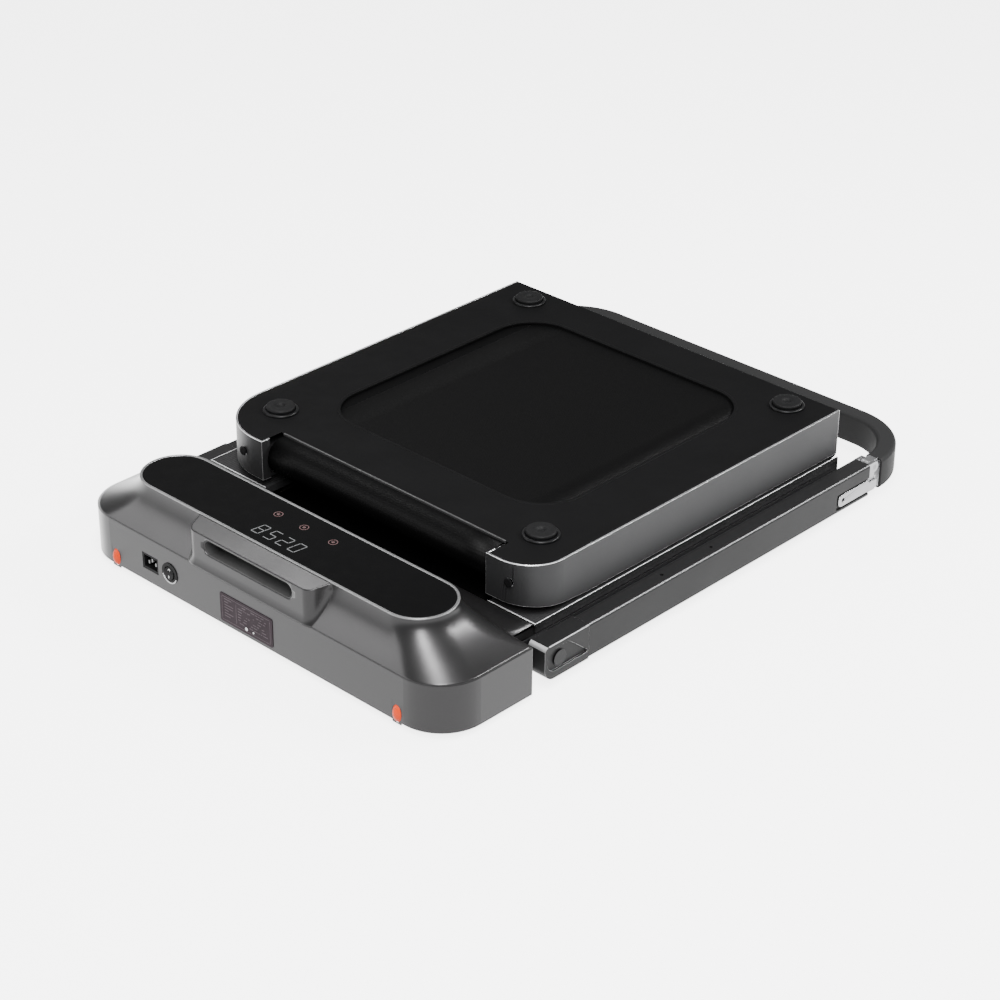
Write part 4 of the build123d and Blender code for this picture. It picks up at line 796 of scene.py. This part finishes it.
def make_pan_edges():
    """A rolled lip round the window and a lighter strip along the near edge of the black pan, a
    painted highlight.
    """
    z = 0.1520
    lip = []
    for inset, dz in ((0.0060, -0.0004), (0.0052, 0.0003), (0.0030, 0.0004), (0.0012, 0.0001),
                      (0.0002, -0.0008), (0.0, -0.0030), (0.0010, -0.0046), (0.0022, -0.0046),
                      (0.0030, -0.0024)):
        off = inset
        lip.append([(x, y, z + dz) for x, y in
                    round_rect(-0.218 - off, 0.218 + off, Y0 + 0.335 - off, Y0 + 0.775 + off,
                               0.067 + off, 16)])
    obj = ring_sweep("window_lip", lip)
    piece(obj, "pan", "rear_deck")
    parts = ([], [])
    for x_a, x_b in ((-0.226, -0.1985), (0.2305, 0.2335)):
        box(parts, x_a, x_b, Y0 + 0.300, Y0 + 0.800, 0.1462, 0.1474)
    for x in (-0.1992, 0.2312):
        box(parts, x - 0.0008, x + 0.0008, Y0 + 0.300, Y0 + 0.800, 0.1400, 0.1470)
    guard = mesh_object("belt_guards", *parts, smooth=False)
    bev = guard.modifiers.new("edge", "BEVEL")
    bev.width = 0.0003
    piece(guard, "belt_side", "rear_deck")
    # a lighter strip along the near edge of the pan, a painted highlight
    parts = ([], [])
    box(parts, -0.199, 0.232, Y0 + 0.2452, Y0 + 0.2475, 0.1478, 0.1523)
    edge = mesh_object("pan_near_edge", *parts, smooth=False)
    bev = edge.modifiers.new("edge", "BEVEL")
    bev.width = 0.0007
    bev.segments = 2
    piece(edge, "pan_strip_painted_highlight", "rear_deck")


def make_fold_guards():
    """Strips under the inner edge of each front foot rail, where the side rail has ended."""
    parts = ([], [])
    for x_a, x_b in ((-0.2062, -0.2026), (0.2346, 0.2382)):
        box(parts, x_a, x_b, Y0 + 0.7740, Y0 + 0.8485, 0.0520, 0.0707)
    guard = mesh_object("fold_guards", *parts, smooth=False)
    bev = guard.modifiers.new("edge", "BEVEL")
    bev.width = 0.0003
    piece(guard, "belt_side", "front_unit")


def make_collars():
    """Bushes in the horn holes, cheeks beside the fold and light strips on the tube ends as a
    painted highlight.
    """
    parts = ([], [])
    for x in (-0.242, 0.274):
        lathe(parts, "y", (x, Y0 + 0.206, 2 * Z_FOLD - 0.0374),
              [(0.0042, -0.0004), (0.0067, -0.0004), (0.0070, 0.0), (0.0052, 0.0006),
               (0.0052, 0.0028), (0.0042, 0.0028)], 36)
    bushes = mesh_object("bolt_bushes", *parts)
    piece(bushes, "black", "rear_deck")
    parts = ([], [])
    for side in (-1, 1):
        x_a, x_b = sorted((side * 0.3150, side * 0.3178))
        box(parts, x_a, x_b, Y0 + 0.790, Y0 + 0.8485, 0.0100, 0.0640)
        box(parts, x_a, x_b, Y0 + 0.8494, Y0 + 0.8540, 0.0100, 0.0742)
        box(parts, x_a, x_b, Y0 + 0.8325, Y0 + 0.8485, 0.0632, 0.0707)
    cheeks = mesh_object("end_cheeks", *parts, smooth=False)
    bev = cheeks.modifiers.new("edge", "BEVEL")
    bev.width = 0.0005
    piece(cheeks, "frame", "front_unit")
    # thin strips on the top outer edge of each tube end, in the light lacquer as a painted
    # highlight
    parts = ([], [])
    for side in (-1, 1):
        x_a, x_b = sorted((side * 0.3568, side * 0.35845))
        box(parts, x_a, x_b, Y0 + 0.1950, Y0 + 0.2713, 0.0655, 0.06715)
    beads = mesh_object("tube_end_highlight_strips", *parts, smooth=False)
    bev = beads.modifiers.new("edge", "BEVEL")
    bev.width = 0.0007
    bev.segments = 2
    piece(beads, "painted_highlight_edge", "handrail")


# ---------------------------------------------------------------- stage
def make_floor():
    floor = mesh_object("floor", [(-12, -12, 0), (12, -12, 0), (12, 12, 0), (-12, 12, 0)],
                        [(0, 1, 2, 3)], smooth=False, fix=False)
    m = Mat("floor_paper", (0.25, 0.25, 0.25), 0.9, spec=0.05)
    m.vary(m.noise(3, 2), 0.01)
    m.bsdf.inputs["Emission Color"].default_value = (1, 1, 1, 1)
    m.bsdf.inputs["Emission Strength"].default_value = 4.2
    floor.data.materials.append(m.mat)


set_camera()
set_lights()
make_floor()
dress_cad()
paint_highlight_lines()
make_housing()
make_display()
make_front_details()
make_wheels()
make_arches()
make_feet()
make_belt()
make_pan_edges()
make_fold_guards()
make_collars()
